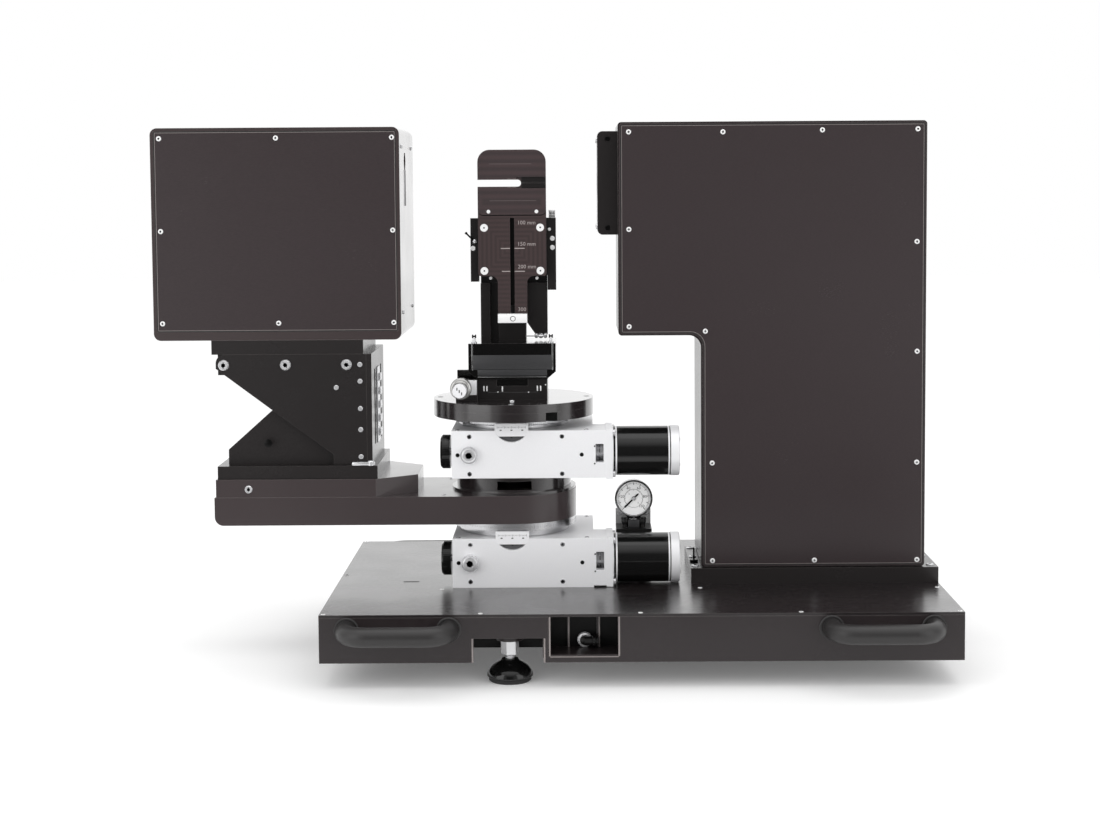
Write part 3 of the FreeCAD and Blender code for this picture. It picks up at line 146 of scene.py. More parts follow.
for lamp_name, place, aim, width, height, power in (
        ("overhead_softbox", (0.1, 0.1, 2.3), (0.1, 0.1, 0.0), 2.8, 2.2, 12.0),
        ("left_softbox", (-1.7, -1.5, 0.75), (0.0, 0.0, 0.4), 1.5, 1.7, 12.0),
        ("right_softbox", (1.8, -1.5, 0.75), (0.1, 0.0, 0.4), 1.3, 1.7, 9.0)):
    softbox = bpy.data.lights.new(lamp_name, "AREA")
    softbox.shape = "RECTANGLE"
    softbox.size = width
    softbox.size_y = height
    softbox.energy = power
    lamp = bpy.data.objects.new(lamp_name, softbox)
    lamp.location = place
    lamp.rotation_euler = (Vector(aim) - Vector(place)).to_track_quat("-Z", "Y").to_euler()
    lamp.visible_camera = False
    scene.collection.objects.link(lamp)

# The camera stands at table height before the instrument, a little right of the goniometer's axis.
LENS_MM, SENSOR_MM = 61.78, 36.0
CAMERA_PLACE = (0.0362, -2.1883, 0.5312)
SHIFT_X, SHIFT_Y = -0.0224, -0.08
TURN_DEG, TILT_DOWN_DEG, ROLL_DEG = 0.142, 4.132, -0.361
camera = bpy.data.objects.new("camera", bpy.data.cameras.new("camera"))
camera.data.lens = LENS_MM
camera.data.sensor_width = SENSOR_MM
camera.data.clip_end = 60.0
camera.data.shift_x = SHIFT_X
camera.data.shift_y = SHIFT_Y
camera.matrix_world = (Matrix.Translation(CAMERA_PLACE)
                       @ Matrix.Rotation(math.radians(TURN_DEG), 4, "Z")
                       @ Matrix.Rotation(math.radians(90 - TILT_DOWN_DEG), 4, "X")
                       @ Matrix.Rotation(math.radians(ROLL_DEG), 4, "Z"))
scene.collection.objects.link(camera)
scene.camera = camera


# Plinth: a deep aluminium tray milled from plate, blasted with fine beads and dyed black.
# The anodic layer gives a satin grain and a faint warm brown; the thin pale line on each edge is a painted
# highlight.
def metal_finish(name, dark, light, metallic, roughness, grain_mm, stretch=(1, 1, 1), relief=0.05,
                 edge_mm=0.0, edge_highlight_colour="#77716f", smudge=0.04, ior=1.33, coat=0.0):
    """A procedural finish: fine grain, larger handling marks, and a painted highlight along the edges."""
    material = bpy.data.materials.new(name)
    tree = empty_tree(material)
    place = add_node(tree, "ShaderNodeTexCoord").outputs["Object"]
    along = add_node(tree, "ShaderNodeMapping", {"Vector": place, "Scale": stretch})
    fine = add_node(tree, "ShaderNodeTexNoise", {"Vector": along.outputs[0], "Scale": 1 / (grain_mm * MM),
                                                 "Detail": 3.0, "Roughness": 0.6}).outputs["Fac"]
    coarse = add_node(tree, "ShaderNodeTexNoise", {"Vector": place, "Scale": 14.0, "Detail": 4.0}).outputs["Fac"]
    colour = blended(tree, fine, linear(dark), linear(light))
    handled = maths(tree, "MULTIPLY_ADD", coarse, 0.6, maths(tree, "MULTIPLY_ADD", fine, 0.4, 0.0))
    rough = ranged(tree, handled, 0.3, 0.7, roughness - smudge, roughness + smudge)
    shader = add_node(tree, "ShaderNodeBsdfPrincipled", {"Metallic": metallic, "IOR": ior, "Coat Weight": coat,
                                                         "Coat IOR": 1.33, "Coat Roughness": rough,
                                                         "Roughness": rough})
    bump = add_node(tree, "ShaderNodeBump", {"Height": fine, "Strength": relief, "Distance": 0.2 * MM})
    if edge_mm:
        rounded = add_node(tree, "ShaderNodeBevel", {"Radius": edge_mm * MM}, samples=4).outputs[0]
        flat = add_node(tree, "ShaderNodeNewGeometry").outputs["Normal"]
        same = add_node(tree, "ShaderNodeVectorMath", {0: rounded, 1: flat}, operation="DOT_PRODUCT")
        # Painted highlight: along each edge, where the rounded normal leaves the flat one, the colour turns to the
        # pale edge colour.
        line = ranged(tree, same.outputs["Value"], 0.995, 0.82, 0.0, 0.75)
        colour = blended(tree, line, colour, linear(edge_highlight_colour))
        tree.links.new(rounded, bump.inputs["Normal"])
    tree.links.new(colour, shader.inputs["Base Color"])
    tree.links.new(bump.outputs[0], shader.inputs["Normal"])
    add_node(tree, "ShaderNodeOutputMaterial", {"Surface": shader.outputs[0]})
    return material


def dress(material, *nodes):
    """Give these CAD nodes one finish."""
    for node in nodes:
        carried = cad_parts[node]
        carried.data.materials.clear()
        carried.data.materials.append(material)


def new_piece(name, mesh, material, body, stands_for=()):
    """Close a mesh, give it its finish, and let it ride on its body."""
    bmesh.ops.remove_doubles(mesh, verts=mesh.verts, dist=0.004 * MM)
    bmesh.ops.recalc_face_normals(mesh, faces=mesh.faces)
    piece = bpy.data.objects.new(name, bpy.data.meshes.new(name))
    mesh.to_mesh(piece.data)
    mesh.free()
    piece.data.shade_smooth()
    piece.data.set_sharp_from_angle(angle=math.radians(32))
    piece.data.materials.append(material)
    scene.collection.objects.link(piece)
    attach(piece, body)
    if stands_for:
        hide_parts(*stands_for)
    return piece


def facing(direction, point, turn=0.0):
    """The placement that turns +Z to a direction and moves the origin to a point in millimetres."""
    return (Matrix.Translation(Vector(point) * MM) @ Vector(direction).to_track_quat("Z", "Y").to_matrix().to_4x4()
            @ Matrix.Rotation(math.radians(turn), 4, "Z"))


def add_part(whole, part, placement=Matrix.Identity(4)):
    """Copy one mesh into another at a placement."""
    copied = part.copy()
    bmesh.ops.transform(copied, matrix=placement, verts=copied.verts)
    carrier = bpy.data.meshes.new("carrier")
    copied.to_mesh(carrier)
    whole.from_mesh(carrier)
    bpy.data.meshes.remove(carrier)
    copied.free()
    return whole


def spun(profile, sides=32):
    """Spin an outline of radius and height, in millimetres, round the Z axis."""
    mesh = bmesh.new()
    verts = [mesh.verts.new((radius * MM, 0, height * MM)) for radius, height in profile]
    edges = [mesh.edges.new(pair) for pair in zip(verts, verts[1:])]
    bmesh.ops.spin(mesh, geom=verts + edges, cent=(0, 0, 0), axis=(0, 0, 1), angle=math.tau, steps=sides,
                   use_merge=True)
    bmesh.ops.remove_doubles(mesh, verts=mesh.verts, dist=0.001 * MM)
    return mesh


def brick(x, y, z, edge=0.0):
    """A block between two places on each axis, in millimetres, with its edges broken."""
    mesh = bmesh.new()
    bmesh.ops.create_cube(mesh, size=1.0)
    spans = (x, y, z)
    bmesh.ops.scale(mesh, vec=[(high - low) * MM for low, high in spans], verts=mesh.verts)
    bmesh.ops.translate(mesh, vec=[(high + low) / 2 * MM for low, high in spans], verts=mesh.verts)
    if edge:
        bmesh.ops.bevel(mesh, geom=mesh.edges[:], offset=edge * MM, offset_type="OFFSET", segments=2,
                        profile=0.5, affect="EDGES", material=-1)
    return mesh


def pulled(mesh, edges, grow=1.0, lift=0.0):
    """Extrude a loop of edges, scale it about the Z axis, lift it in millimetres, and return its edges."""
    made = bmesh.ops.extrude_edge_only(mesh, edges=edges)["geom"]
    ring = [item for item in made if isinstance(item, bmesh.types.BMVert)]
    bmesh.ops.scale(mesh, vec=(grow, grow, 1), verts=ring)
    bmesh.ops.translate(mesh, vec=(0, 0, lift * MM), verts=ring)
    return [item for item in made if isinstance(item, bmesh.types.BMEdge) and item.is_boundary]


def socketed(mesh, rim, key, height, depth, cuts=3):
    """Close a round rim with a hexagon socket of a key's size; sizes in millimetres."""
    key_verts = bmesh.ops.create_circle(mesh, segments=6, radius=key * MM)["verts"]
    bmesh.ops.translate(mesh, vec=(0, 0, height * MM), verts=key_verts)
    bmesh.ops.subdivide_edges(mesh, edges=[edge for edge in mesh.edges if edge.is_wire], cuts=cuts)
    key_edges = [edge for edge in mesh.edges if edge.is_wire]
    bmesh.ops.bridge_loops(mesh, edges=rim + key_edges)
    bmesh.ops.edgeloop_fill(mesh, edges=pulled(mesh, key_edges, lift=-depth))
    return mesh


def socket_screw(radius, rise, key, dome=0.55):
    """A screw head with a hexagon socket: seat at the origin, facing +Z, sizes in millimetres."""
    head = bmesh.new()
    bmesh.ops.create_circle(head, segments=24, radius=radius * MM, cap_ends=True)
    edges = head.edges[:]
    for grow, lift in ((1.0, rise * dome), (0.93, rise * (1 - dome) / 2), (0.86, rise * (1 - dome) / 2)):
        edges = pulled(head, edges, grow, lift)
    return socketed(head, edges, key, rise, 0.55 * rise)


def screw_row(name, body, material, head, direction, spots):
    """One piece from a row of equal screws, each turned a little differently."""
    row = bmesh.new()
    for number, spot in enumerate(spots):
        add_part(row, head, facing(direction, spot, turn=37 * number))
    return new_piece(name, row, material, body)


milled_black = metal_finish("bead_blasted_black_anodised_plate", "#211c1d", "#302a2b", 0.0, 0.28, 0.5,
                            edge_mm=0.7, coat=0.6)
sheet_black = metal_finish("black_anodised_deck_sheet", "#1c1819", "#292425", 0.0, 0.27, 0.45, relief=0.03,
                           edge_mm=0.5, coat=1.0)
bright_steel = metal_finish("plated_bright_steel", "#d8d8da", "#eeeef0", 0.6, 0.24, 0.5, relief=0.02, ior=1.5)
# Screw faces near white: pale stainless, with the bright glint of the room painted into the colour.
glint_white_steel = metal_finish("stainless_screw_face_painted_glint", "#f0f0f0", "#ffffff", 0.2, 0.45, 0.4, relief=0.02)
dark_steel = metal_finish("black_oxide_steel", "#0b0b0b", "#151414", 0.4, 0.3, 0.4)
dress(milled_black, "base_frame")
dress(sheet_black, "base_top_sheets")

DECK = 80.0
countersunk = socket_screw(2.6, 0.5, 1.3, dome=0.3)
screw_row("deck_screws", "root", glint_white_steel, countersunk, UP,
          [(x, y, DECK) for x, y in ((-238.5, -206), (-71, -206), (99.5, -206), (270.5, -206), (439.5, -206),
                                     (-120.8, -82.4), (170.8, -82.4), (438, -86), (-238.5, 206), (-71, 206),
                                     (99.5, 206), (270.5, 206), (439.5, 206), (-238.5, 0), (438, 92))])
# A dowel slot straddles the seam, where the two deck sheets are lined up with each other.
seam_key = brick((-168, -150), (-41.6, -38.4), (DECK, DECK + 0.25), edge=0.1)
new_piece("deck_seam_key", seam_key, dark_steel, "root")
# A folded sheet closes the pocket behind the front foot, near black to paint the shade inside it; the pale strips
# on the cut edges of the front are painted highlights.
# This near-black finish paints shade: in the foot pocket, in the inlet's recess and in the strip under the
# transmission plate's foot.
shade_black_finish = metal_finish("painted_shade_black", "#050505", "#0a0909", 0.0, 0.5, 0.8, relief=0.02)
pocket = brick((-82, 0), (-146, -145), (28.4, 76), edge=0.3)
for x, y in (((-82, -47.2), (-209, -145)), ((-34.8, 0), (-209, -145)), ((-47.2, -34.8), (-209, -181.2)),
             ((-47.2, -34.8), (-168.8, -145))):
    add_part(pocket, brick(x, y, (54.2, 54.9)))
new_piece("foot_pocket_shade_sheet", pocket, shade_black_finish, "root")
# Pale strips that paint the highlights on edges: the plinth's cut edges, the inlet's fins and the covers' broken
# edges.
cut_edge = metal_finish("painted_edge_highlight_strip", "#7d7674", "#98918f", 0.2, 0.3, 0.4, ior=1.5)
EDGE_PROUD = (-211.15, -210.9)
edges = bmesh.new()
for x, low, high in ((-79.6, 28, 54), (-2.9, 28, 54), (2.6, 34.5, 77), (76.6, 34.5, 77)):
    add_part(edges, brick((x - 0.9, x + 0.9), EDGE_PROUD, (low, high), edge=0.1))
add_part(edges, brick((3, 76), EDGE_PROUD, (33.4, 34.4), edge=0.1))
new_piece("plinth_cut_edges", edges, cut_edge, "root")


# Carrying handles: four bows of thick glass filled nylon, bolted through the plinth's skirt.
# Moulded with a fine spark pattern, so the grey sheen is broad and soft.
nylon_grey = metal_finish("spark_textured_nylon", "#222121", "#2d2b2b", 0.0, 0.42, 0.9, relief=0.12, ior=1.5)
dress(nylon_grey, "carry_handles")
handle_collars = bmesh.new()
grip_seat = spun([(0, 0), (13.5, 0), (13.5, 1.2), (12.6, 2.0), (10.6, 2.0), (10.6, 0.4), (0, 0.4)], sides=36)
for side in (-1, 1):
    for x in (-213.5, -104.5, 302.5, 411.5):
        add_part(handle_collars, grip_seat, facing((0, side, 0), (x, 211 * side, 64)))
new_piece("handle_collars", handle_collars, nylon_grey, "root")


# Levelling feet: a moulded pad on a hexagonal stainless stud, which turns in a boss of the plinth.
# The pad is glossy black acetal over a rubber sole; the plated stud is turned by its hexagon.
def placed(part, placement):
    """One mesh of its own, moved to a placement."""
    return add_part(bmesh.new(), part, placement)


gloss_black = metal_finish("glossy_black_acetal", "#0a0a0a", "#121212", 0.0, 0.12, 1.2, relief=0.01, ior=1.5)
sole_rubber = metal_finish("moulded_rubber_sole", "#171717", "#222121", 0.0, 0.6, 0.7, relief=0.15, ior=1.5)
pad_shape = spun([(0, 4.5), (23.6, 4.5), (25.0, 5.8), (24.8, 8.4), (22.9, 12.6), (19.0, 16.6), (13.6, 20.0),
                  (10.4, 21.8), (9.0, 24.0), (0, 24.0)], sides=48)
sole_shape = spun([(0, 0), (21.5, 0), (23.0, 1.2), (23.0, 4.5), (0, 4.5)], sides=48)
hexagon_shape = spun([(0, 28.7), (8.9, 28.7), (9.8, 29.5), (9.8, 43.9), (8.9, 44.7), (0, 44.7)], sides=6)
thread_outline = [(0, 23.9)]
for turn in range(31):
    thread_outline += [(4.35, 24.0 + 1.25 * turn), (4.98, 24.5 + 1.25 * turn), (4.98, 24.75 + 1.25 * turn)]
thread_outline += [(4.35, 62.9), (0, 62.9)]
thread_shape = spun(thread_outline, sides=24)
for foot, (x, y) in (("front_foot", (-41, -175)), ("rear_foot", (-41, 175)), ("side_foot", (384, 0))):
    here = facing(UP, (x, y, 0))
    pad = placed(pad_shape, here)
    new_piece(foot + "_pad", pad, gloss_black, foot, [foot])
    sole = placed(sole_shape, here)
    new_piece(foot + "_sole", sole, sole_rubber, foot)
    stud = placed(hexagon_shape, facing(UP, (x, y, 0), turn=10))
    add_part(stud, thread_shape, here)
    new_piece(foot + "_stud", stud, bright_steel, foot)


# Gas inlet: a push-in elbow of black nylon on a nickel plated ring nut, in its recess.
# It swivels on the nut, and the tube is let go by pressing the collar at its mouth.
elbow_nylon = metal_finish("moulded_black_nylon", "#101010", "#191818", 0.0, 0.3, 0.8, relief=0.05, ior=1.5)
INLET_X, INLET_Z, RECESS_REAR = 40.0, 44.0, -171.0
FINS_X = (22.7, 55.8)
ring_nut = spun([(0, 0), (8.2, 0), (8.4, 0.6), (8.4, 4.6), (7.4, 5.9), (5.1, 5.9), (5.1, 3.0), (0, 3.0)], sides=48)
nut = placed(ring_nut, facing(FRONT, (INLET_X, RECESS_REAR - 0.4, INLET_Z)))
# A near-black sheet on the recess's rear wall and fins paints the shade in the recess; the fins' front edges carry
# painted highlights.
lining = brick((3.6, 75.4), (RECESS_REAR - 0.3, RECESS_REAR - 0.05), (35.5, 76.5))
for x in FINS_X:
    add_part(lining, brick((x - 0.8, x + 0.8), (RECESS_REAR - 4.1, RECESS_REAR - 0.3), (35.5, 76.5)))
new_piece("recess_painted_shade", lining, shade_black_finish, "root")
fins = bmesh.new()
for x in FINS_X:
    add_part(fins, brick((x - 0.8, x + 0.8), (RECESS_REAR - 4.4, RECESS_REAR - 4.1), (35.5, 76.5), edge=0.1))
new_piece("recess_fin_highlights", fins, cut_edge, "root")
new_piece("inlet_nut", nut, bright_steel, "inlet")
elbow = bmesh.new()
add_part(elbow, spun([(0, 0.4), (4.9, 0.4), (4.9, 9.5), (4.2, 10.6), (2.6, 11.2), (0, 11.2)], sides=32),
         facing(FRONT, (INLET_X, RECESS_REAR, INLET_Z)))
add_part(elbow, spun([(0, 0), (4.9, 0), (4.9, 8.2), (6.2, 8.8), (6.2, 11.4), (4.9, 11.8), (4.9, 12.6),
                      (5.6, 13.0), (5.6, 14.6), (4.4, 15.0), (3.0, 15.0), (3.0, 6.0), (0, 6.0)], sides=32),
         facing(RIGHT, (INLET_X, RECESS_REAR - 11.0, INLET_Z)))
new_piece("inlet_elbow_body", elbow, elbow_nylon, "inlet", ["inlet_elbow"])


# Goniometer stages, two alike: a cast and milled alloy body, blasted and clear anodised, whose
# worm turns a wheel under the graduated steel ring. Motor, coupling and hand knob share one shaft.
clear_alloy = metal_finish("bead_blasted_clear_anodised_alloy", "#e6e6e8", "#f4f4f6", 0.15, 0.42, 0.6,
                           relief=0.08, edge_mm=0.5, edge_highlight_colour="#f6f6f6", ior=1.6)
turned_steel = metal_finish("turned_ground_steel", "#a9a9ab", "#dcdcde", 1.0, 0.2, 0.35, stretch=(0.2, 0.2, 6),
                            relief=0.03)
engraving = metal_finish("filled_black_engraving", "#161616", "#242424", 0.0, 0.5, 0.3, ior=1.5)
motor_enamel = metal_finish("glossy_black_motor_enamel", "#0b0b0b", "#141414", 0.0, 0.14, 1.0, relief=0.01,
                            smudge=0.03, ior=1.5)
# Mid grey for the scallop liner: painted shade in the recess under each vernier plate.
scallop_shade_finish = metal_finish("painted_shade_scallop_alloy", "#606062", "#747476", 0.5, 0.34, 0.3, stretch=(0.2, 1, 1))
dress(clear_alloy, "lower_stage_housing", "upper_stage_housing", "lower_stage_coupling_box",
      "upper_stage_coupling_box", "lower_stage_motor", "upper_stage_motor", "lower_stage_vernier",
      "upper_stage_vernier")
dress(turned_steel, "lower_stage_rotor", "upper_stage_rotor", "lower_stage_worm_shaft", "upper_stage_worm_shaft")

AXIS_X = -41.0
STAGE_FRONT = -76.0
WORM_Y = -47.5


def lettering(words, height, depth=0.05):
    """Raised figures facing +Z, centred on the origin, as a mesh; sizes in millimetres."""
    cut = bpy.data.curves.new("figures", "FONT")
    cut.body = words
    cut.size = height * MM * 1.4
    cut.extrude = depth * MM
    cut.align_x = "CENTER"
    cut.align_y = "CENTER"
    cut.resolution_u = 2
    stencil = bpy.data.objects.new("figures", cut)
    scene.collection.objects.link(stencil)
    bpy.context.view_layer.update()
    flat = bpy.data.meshes.new_from_object(stencil.evaluated_get(bpy.context.evaluated_depsgraph_get()))
    mesh = bmesh.new()
    mesh.from_mesh(flat)
    bpy.data.objects.remove(stencil)
    bpy.data.meshes.remove(flat)
    return mesh


def ring_of(part, count):
    """Copies of a part, spread evenly round the Z axis."""
    ring = bmesh.new()
    for number in range(count):
        add_part(ring, part, facing(UP, (0, 0, 0), turn=360 / count * number))
    return ring


def thickened(mesh, along):
    """Extrude every face of a flat mesh by a vector in millimetres."""
    made = bmesh.ops.extrude_face_region(mesh, geom=mesh.faces[:])["geom"]
    bmesh.ops.translate(mesh, vec=Vector(along) * MM, verts=[v for v in made if isinstance(v, bmesh.types.BMVert)])
    return mesh


cover_screw = socket_screw(2.7, 0.7, 1.45, dome=0.3)
plug_button = spun([(0, 0), (2.3, 0), (2.3, 0.15), (1.9, 0.3), (0, 0.3)], sides=20)
bezel_pin = spun([(0, 0), (0.9, 0), (0.9, 0.3), (0, 0.3)], sides=12)
flange_bolt = socket_screw(3.6, 3.2, 1.7, dome=0.85)
lock_head = spun([(0, 0), (8.6, 0), (9.5, 0.8), (9.5, 6.6), (8.9, 7.4), (8.2, 7.4), (7.6, 8.6),
                  (6.6, 9.0), (5.2, 9.0)], sides=48)
socketed(lock_head, [edge for edge in lock_head.edges if edge.is_boundary], 4.0, 9.0, 5.5, cuts=7)

# A thin grey liner on the wall of the scallop in the front face paints the shade in the recess: a disc cut off
# level with the housing's top.
crescent = bmesh.new()
bmesh.ops.create_circle(crescent, cap_ends=True, segments=72, radius=20.25 * MM)
bmesh.ops.bisect_plane(crescent, geom=crescent.verts[:] + crescent.edges[:] + crescent.faces[:],
                       plane_co=(0, -7.6 * MM, 0), plane_no=(0, 1, 0), clear_outer=True)
thickened(crescent, (0, 0, 0.2))

for level, body, worm_body, ring_body, bottom, ring_top in (
        ("lower_stage", "root", "lower_worm", "arm", 82.0, 152.0),
        ("upper_stage", "arm", "upper_worm", "table", 205.0, 270.0)):
    middle = bottom + 27.0
    screw_row(level + "_cover_screws", body, turned_steel, cover_screw, FRONT,
              [(x, STAGE_FRONT, bottom + z) for x in (-88.7, 15.8) for z in (5.0, 47.4)])
    screw_row(level + "_rear_screws", body, turned_steel, cover_screw, REAR,
              [(x, -STAGE_FRONT, bottom + z) for x in (-88.7, 15.8) for z in (5.0, 47.4)])
    screw_row(level + "_top_screws", body, turned_steel, cover_screw, UP,
              [(x, y, bottom + 54) for x in (-102.5, 43.5) for y in (-68.5, 68.5)])
    plugs = bmesh.new()
    for x, z in ((-102.0, 26.5), (38.0, 26.5)):
        add_part(plugs, plug_button, facing(FRONT, (x, STAGE_FRONT, bottom + z)))
    for z in (16.2, 36.0):
        add_part(plugs, bezel_pin, facing(FRONT, (52.6, STAGE_FRONT, bottom + z)))
    new_piece(level + "_plugs", plugs, dark_steel, body)

    screw = placed(lock_head, facing(FRONT, (-89.0, STAGE_FRONT, middle), turn=15))
    shank = spun([(0, -19.9), (3.6, -19.9), (3.9, -19.5), (3.9, 0.3), (0, 0.3)], sides=24)
    add_part(screw, shank, facing(FRONT, (-89.0, STAGE_FRONT, middle)))
    new_piece(level + "_lock_screw", screw, bright_steel, body, [level + "_clamp_screw"])

    wall = placed(crescent, facing(FRONT, (AXIS_X, STAGE_FRONT + 4.98, bottom + 61.4)))
    new_piece(level + "_scallop_shade_liner", wall, scallop_shade_finish, body)

    marks = bmesh.new()
    lean = (0, -1, 1.25 / 14.5)
    for x in (-53.2, -41.0, -28.8):
        add_part(marks, brick((x - 1.1, x + 1.1), (-0.6, 0.6), (-0.1, 0.1)),
                 facing(lean, (0, STAGE_FRONT + 0.6, bottom + 54.5)))
    for step in range(-10, 11):
        tall = 2.2 if step % 5 == 0 else 1.3
        line_x = AXIS_X + 1.6 * step
        rule = brick((line_x - 0.16, line_x + 0.16), (-tall / 2, tall / 2), (-0.08, 0.08))
        add_part(marks, rule, facing(lean, (0, STAGE_FRONT + 0.82, bottom + 57.6)))
    add_part(marks, plug_button, facing(FRONT, (AXIS_X, STAGE_FRONT + 4.8, bottom + 45.6)) @ Matrix.Scale(0.4, 4))
    new_piece(level + "_vernier_marks", marks, engraving, body)

    # Degree lines round the ring, every fifth longer, read against the vernier plate below.
    degrees = bmesh.new()
    for degree in range(0, 360, 2):
        length = 3.0 if degree % 10 == 0 else 1.8
        line = brick((71.96, 72.03), (-0.11, 0.11), (ring_top - length - 3.2, ring_top - 3.2))
        add_part(degrees, line, facing(UP, (AXIS_X, 0, 0), turn=degree))
    new_piece(level + "_degree_lines", degrees, engraving, ring_body)

    # The motor: enamelled can between a blasted flange and a brushed bell with four long screws.
    can = spun([(0, 73.2), (27.2, 73.2), (28.06, 74.0), (28.06, 76.2), (27.7, 76.6), (27.7, 77.6), (28.06, 78.0),
                (28.06, 136.0), (27.7, 136.4), (27.7, 137.4), (28.06, 137.8), (28.06, 138.9), (0, 138.9)],
               sides=64)
    casing = placed(can, facing(RIGHT, (0, WORM_Y, middle)))
    new_piece(level + "_motor_can", casing, motor_enamel, body)
    bell_screws = [(149.0, WORM_Y + 20 * math.cos(math.radians(a)), middle + 20 * math.sin(math.radians(a)))
                   for a in (45, 135, 225, 315)]
    screw_row(level + "_bell_screws", body, dark_steel, cover_screw, RIGHT, bell_screws)
    screw_row(level + "_flange_bolts", body, bright_steel, flange_bolt, RIGHT,
              [(73.0, WORM_Y + 23.4 * a, middle + 23.4 * b) for a in (-1, 1) for b in (-1, 1)])

    # The coupling seen through its window: a hub with a groove round its middle.
    hub = spun([(0, 0), (12.25, 0), (12.25, 5.4), (11.2, 5.6), (11.2, 6.4), (12.25, 6.6), (12.25, 12), (0, 12)],
               sides=48)
    clamp = placed(hub, facing(RIGHT, (52.25, WORM_Y, middle)))
    new_piece(level + "_coupling_hub", clamp, bright_steel, worm_body)

    # The hand knob has a fine coin knurl round its rim.
    grip = ring_of(brick((18.7, 19.25), (-0.45, 0.45), (2.2, 10.6), edge=0.12), 60)
    knurl = placed(grip, facing(RIGHT, (-122.5, WORM_Y, middle)))
    new_piece(level + "_knob_knurl", knurl, gloss_black, worm_body)
dress(gloss_black, "lower_stage_hand_knob", "upper_stage_hand_knob")


# Detector arm: a bar of aluminium plate, 32 mm thick, with a turned round end on the lower ring.
# The spacer drum stands on it and carries the upper stage; a thin shadow gap shows between them.
arm_black = metal_finish("fine_milled_black_anodised_bar", "#373031", "#443c3d", 0.0, 0.24, 0.5, relief=0.03,
                         edge_mm=0.7, coat=1.0)
turned_black = metal_finish("turned_black_anodised_disc", "#1b1718", "#2a2526", 0.0, 0.16, 0.3,
                            stretch=(0.15, 0.15, 3), relief=0.03, edge_mm=0.4, ior=1.7, coat=1.0)
dark_anodised = metal_finish("dense_black_anodised_fixture", "#1f1c1c", "#2b2828", 0.0, 0.26, 0.45, relief=0.04,
                             edge_mm=0.5, edge_highlight_colour="#5d5856", coat=0.5)
dress(arm_black, "detector_arm", "stand_foot")
dress(turned_black, "arm_spacer", "table_discs")
cap_screw = socket_screw(3.4, 2.6, 1.9, dome=0.8)
small_button = socket_screw(2.9, 1.5, 1.3)
big_button = socket_screw(6.2, 3.2, 2.6, dome=0.4)
foot_button = socket_screw(4.4, 1.6, 2.0, dome=0.4)
screw_row("arm_end_screws", "arm", dark_steel, small_button, LEFT,
          [(-378, y, 170) for y in (-52, 0, 52)])
screw_row("arm_top_screws", "arm", bright_steel, socket_screw(2.4, 0.6, 1.2), UP,
          [(-119, y, 184) for y in (-60, 60)])


# Stand of the detector box: two crossing V plates on each side, an end plate with two slots, and
# foot plates on the arm. Plate, sawn and milled, joined by button screws and cross dowels.
dress(dark_anodised, "stand_ribbed_plate", "stand_side_plates", "stand_top_block", "stand_end_plate")
STAND_FACE = 65.0
side_bolts = [(-366.0, 334.0), (-296.0, 334.0), (-227.0, 334.0)]
edge_screws = [(-212.0, z) for z in (334.0, 315.0, 284.0, 260.0, 229.0)] + [(-239.0, 308.0)]
for side, name in ((-1, "front"), (1, "rear")):
    screw_row("stand_" + name + "_bolts", "arm", bright_steel, big_button, (0, side, 0),
              [(x, side * STAND_FACE, z) for x, z in side_bolts])
    screw_row("stand_" + name + "_edge_screws", "arm", bright_steel, small_button, (0, side, 0),
              [(x, side * STAND_FACE, z) for x, z in edge_screws])
    screw_row("stand_" + name + "_foot_screw", "arm", bright_steel, foot_button, (0, side, 0),
              [(-339.0, side * 72.5, 193.5)])
    hole = placed(spun([(0, 0), (4.6, 0), (4.6, 0.25), (4.1, 0.5), (0, 0.5)], sides=28),
                    facing((0, side, 0), (-317.0, side * STAND_FACE, 245.0)))
    new_piece("stand_" + name + "_hole_plug", hole, dark_steel, "arm")
# A plated panel with five raised blocks stands between the slots of the end plate.
entry_panel = brick((-199.0, -197.6), (-13, 13), (238, 326), edge=0.4)
for z in (250, 266, 282, 298, 314):
    add_part(entry_panel, brick((-197.8, -194.8), (-9, 9), (z - 4.2, z + 4.2), edge=0.6))
new_piece("stand_entry_panel", entry_panel, bright_steel, "arm")
# A flat lock lever lies on the ribbed plate, against the foot of the front V plate.
lever = brick((-222, -196), (-71.5, -66.0), (219.6, 223.6), edge=1.2)
add_part(lever, spun([(0, 0), (3.6, 0), (3.6, 4.6), (2.9, 5.4), (0, 5.4)], sides=24),
         facing(UP, (-200.5, -68.5, 219.6)))
new_piece("stand_lock_lever", lever, bright_steel, "arm")


# Detector box: a rounded frame milled from one billet, closed by sheet covers front and rear.
# Each cover is 4 mm sheet, finely grained, held by eight small button screws.
def flat_outline(outline, y, rounds):
    """A flat face with an outline in X and Z, in millimetres; rounds give a radius and its corners."""
    mesh = bmesh.new()
    verts = [mesh.verts.new((x * MM, y * MM, z * MM)) for x, z in outline]
    mesh.faces.new(verts)
    for radius, corners in rounds:
        bmesh.ops.bevel(mesh, geom=[verts[corner] for corner in corners], offset=radius * MM, offset_type="OFFSET",
                        segments=8, profile=0.5, affect="VERTICES", material=-1)
    return mesh


def edge_line(outline, rounds, y, inset, width):
    """A raised line of a width that follows an outline at an inset, in millimetres."""
    mesh = flat_outline(outline, y - 0.06, rounds)
    outside = bmesh.ops.inset_region(mesh, faces=mesh.faces[:], thickness=inset * MM, use_boundary=True,
                                     use_even_offset=True)["faces"]
    bmesh.ops.delete(mesh, geom=outside, context="FACES")
    line = bmesh.ops.inset_region(mesh, faces=mesh.faces[:], thickness=width * MM, use_boundary=True,
                                  use_even_offset=True)["faces"]
    bmesh.ops.delete(mesh, geom=[face for face in mesh.faces if face not in line], context="FACES")
    return thickened(mesh, (0, 0.12, 0))


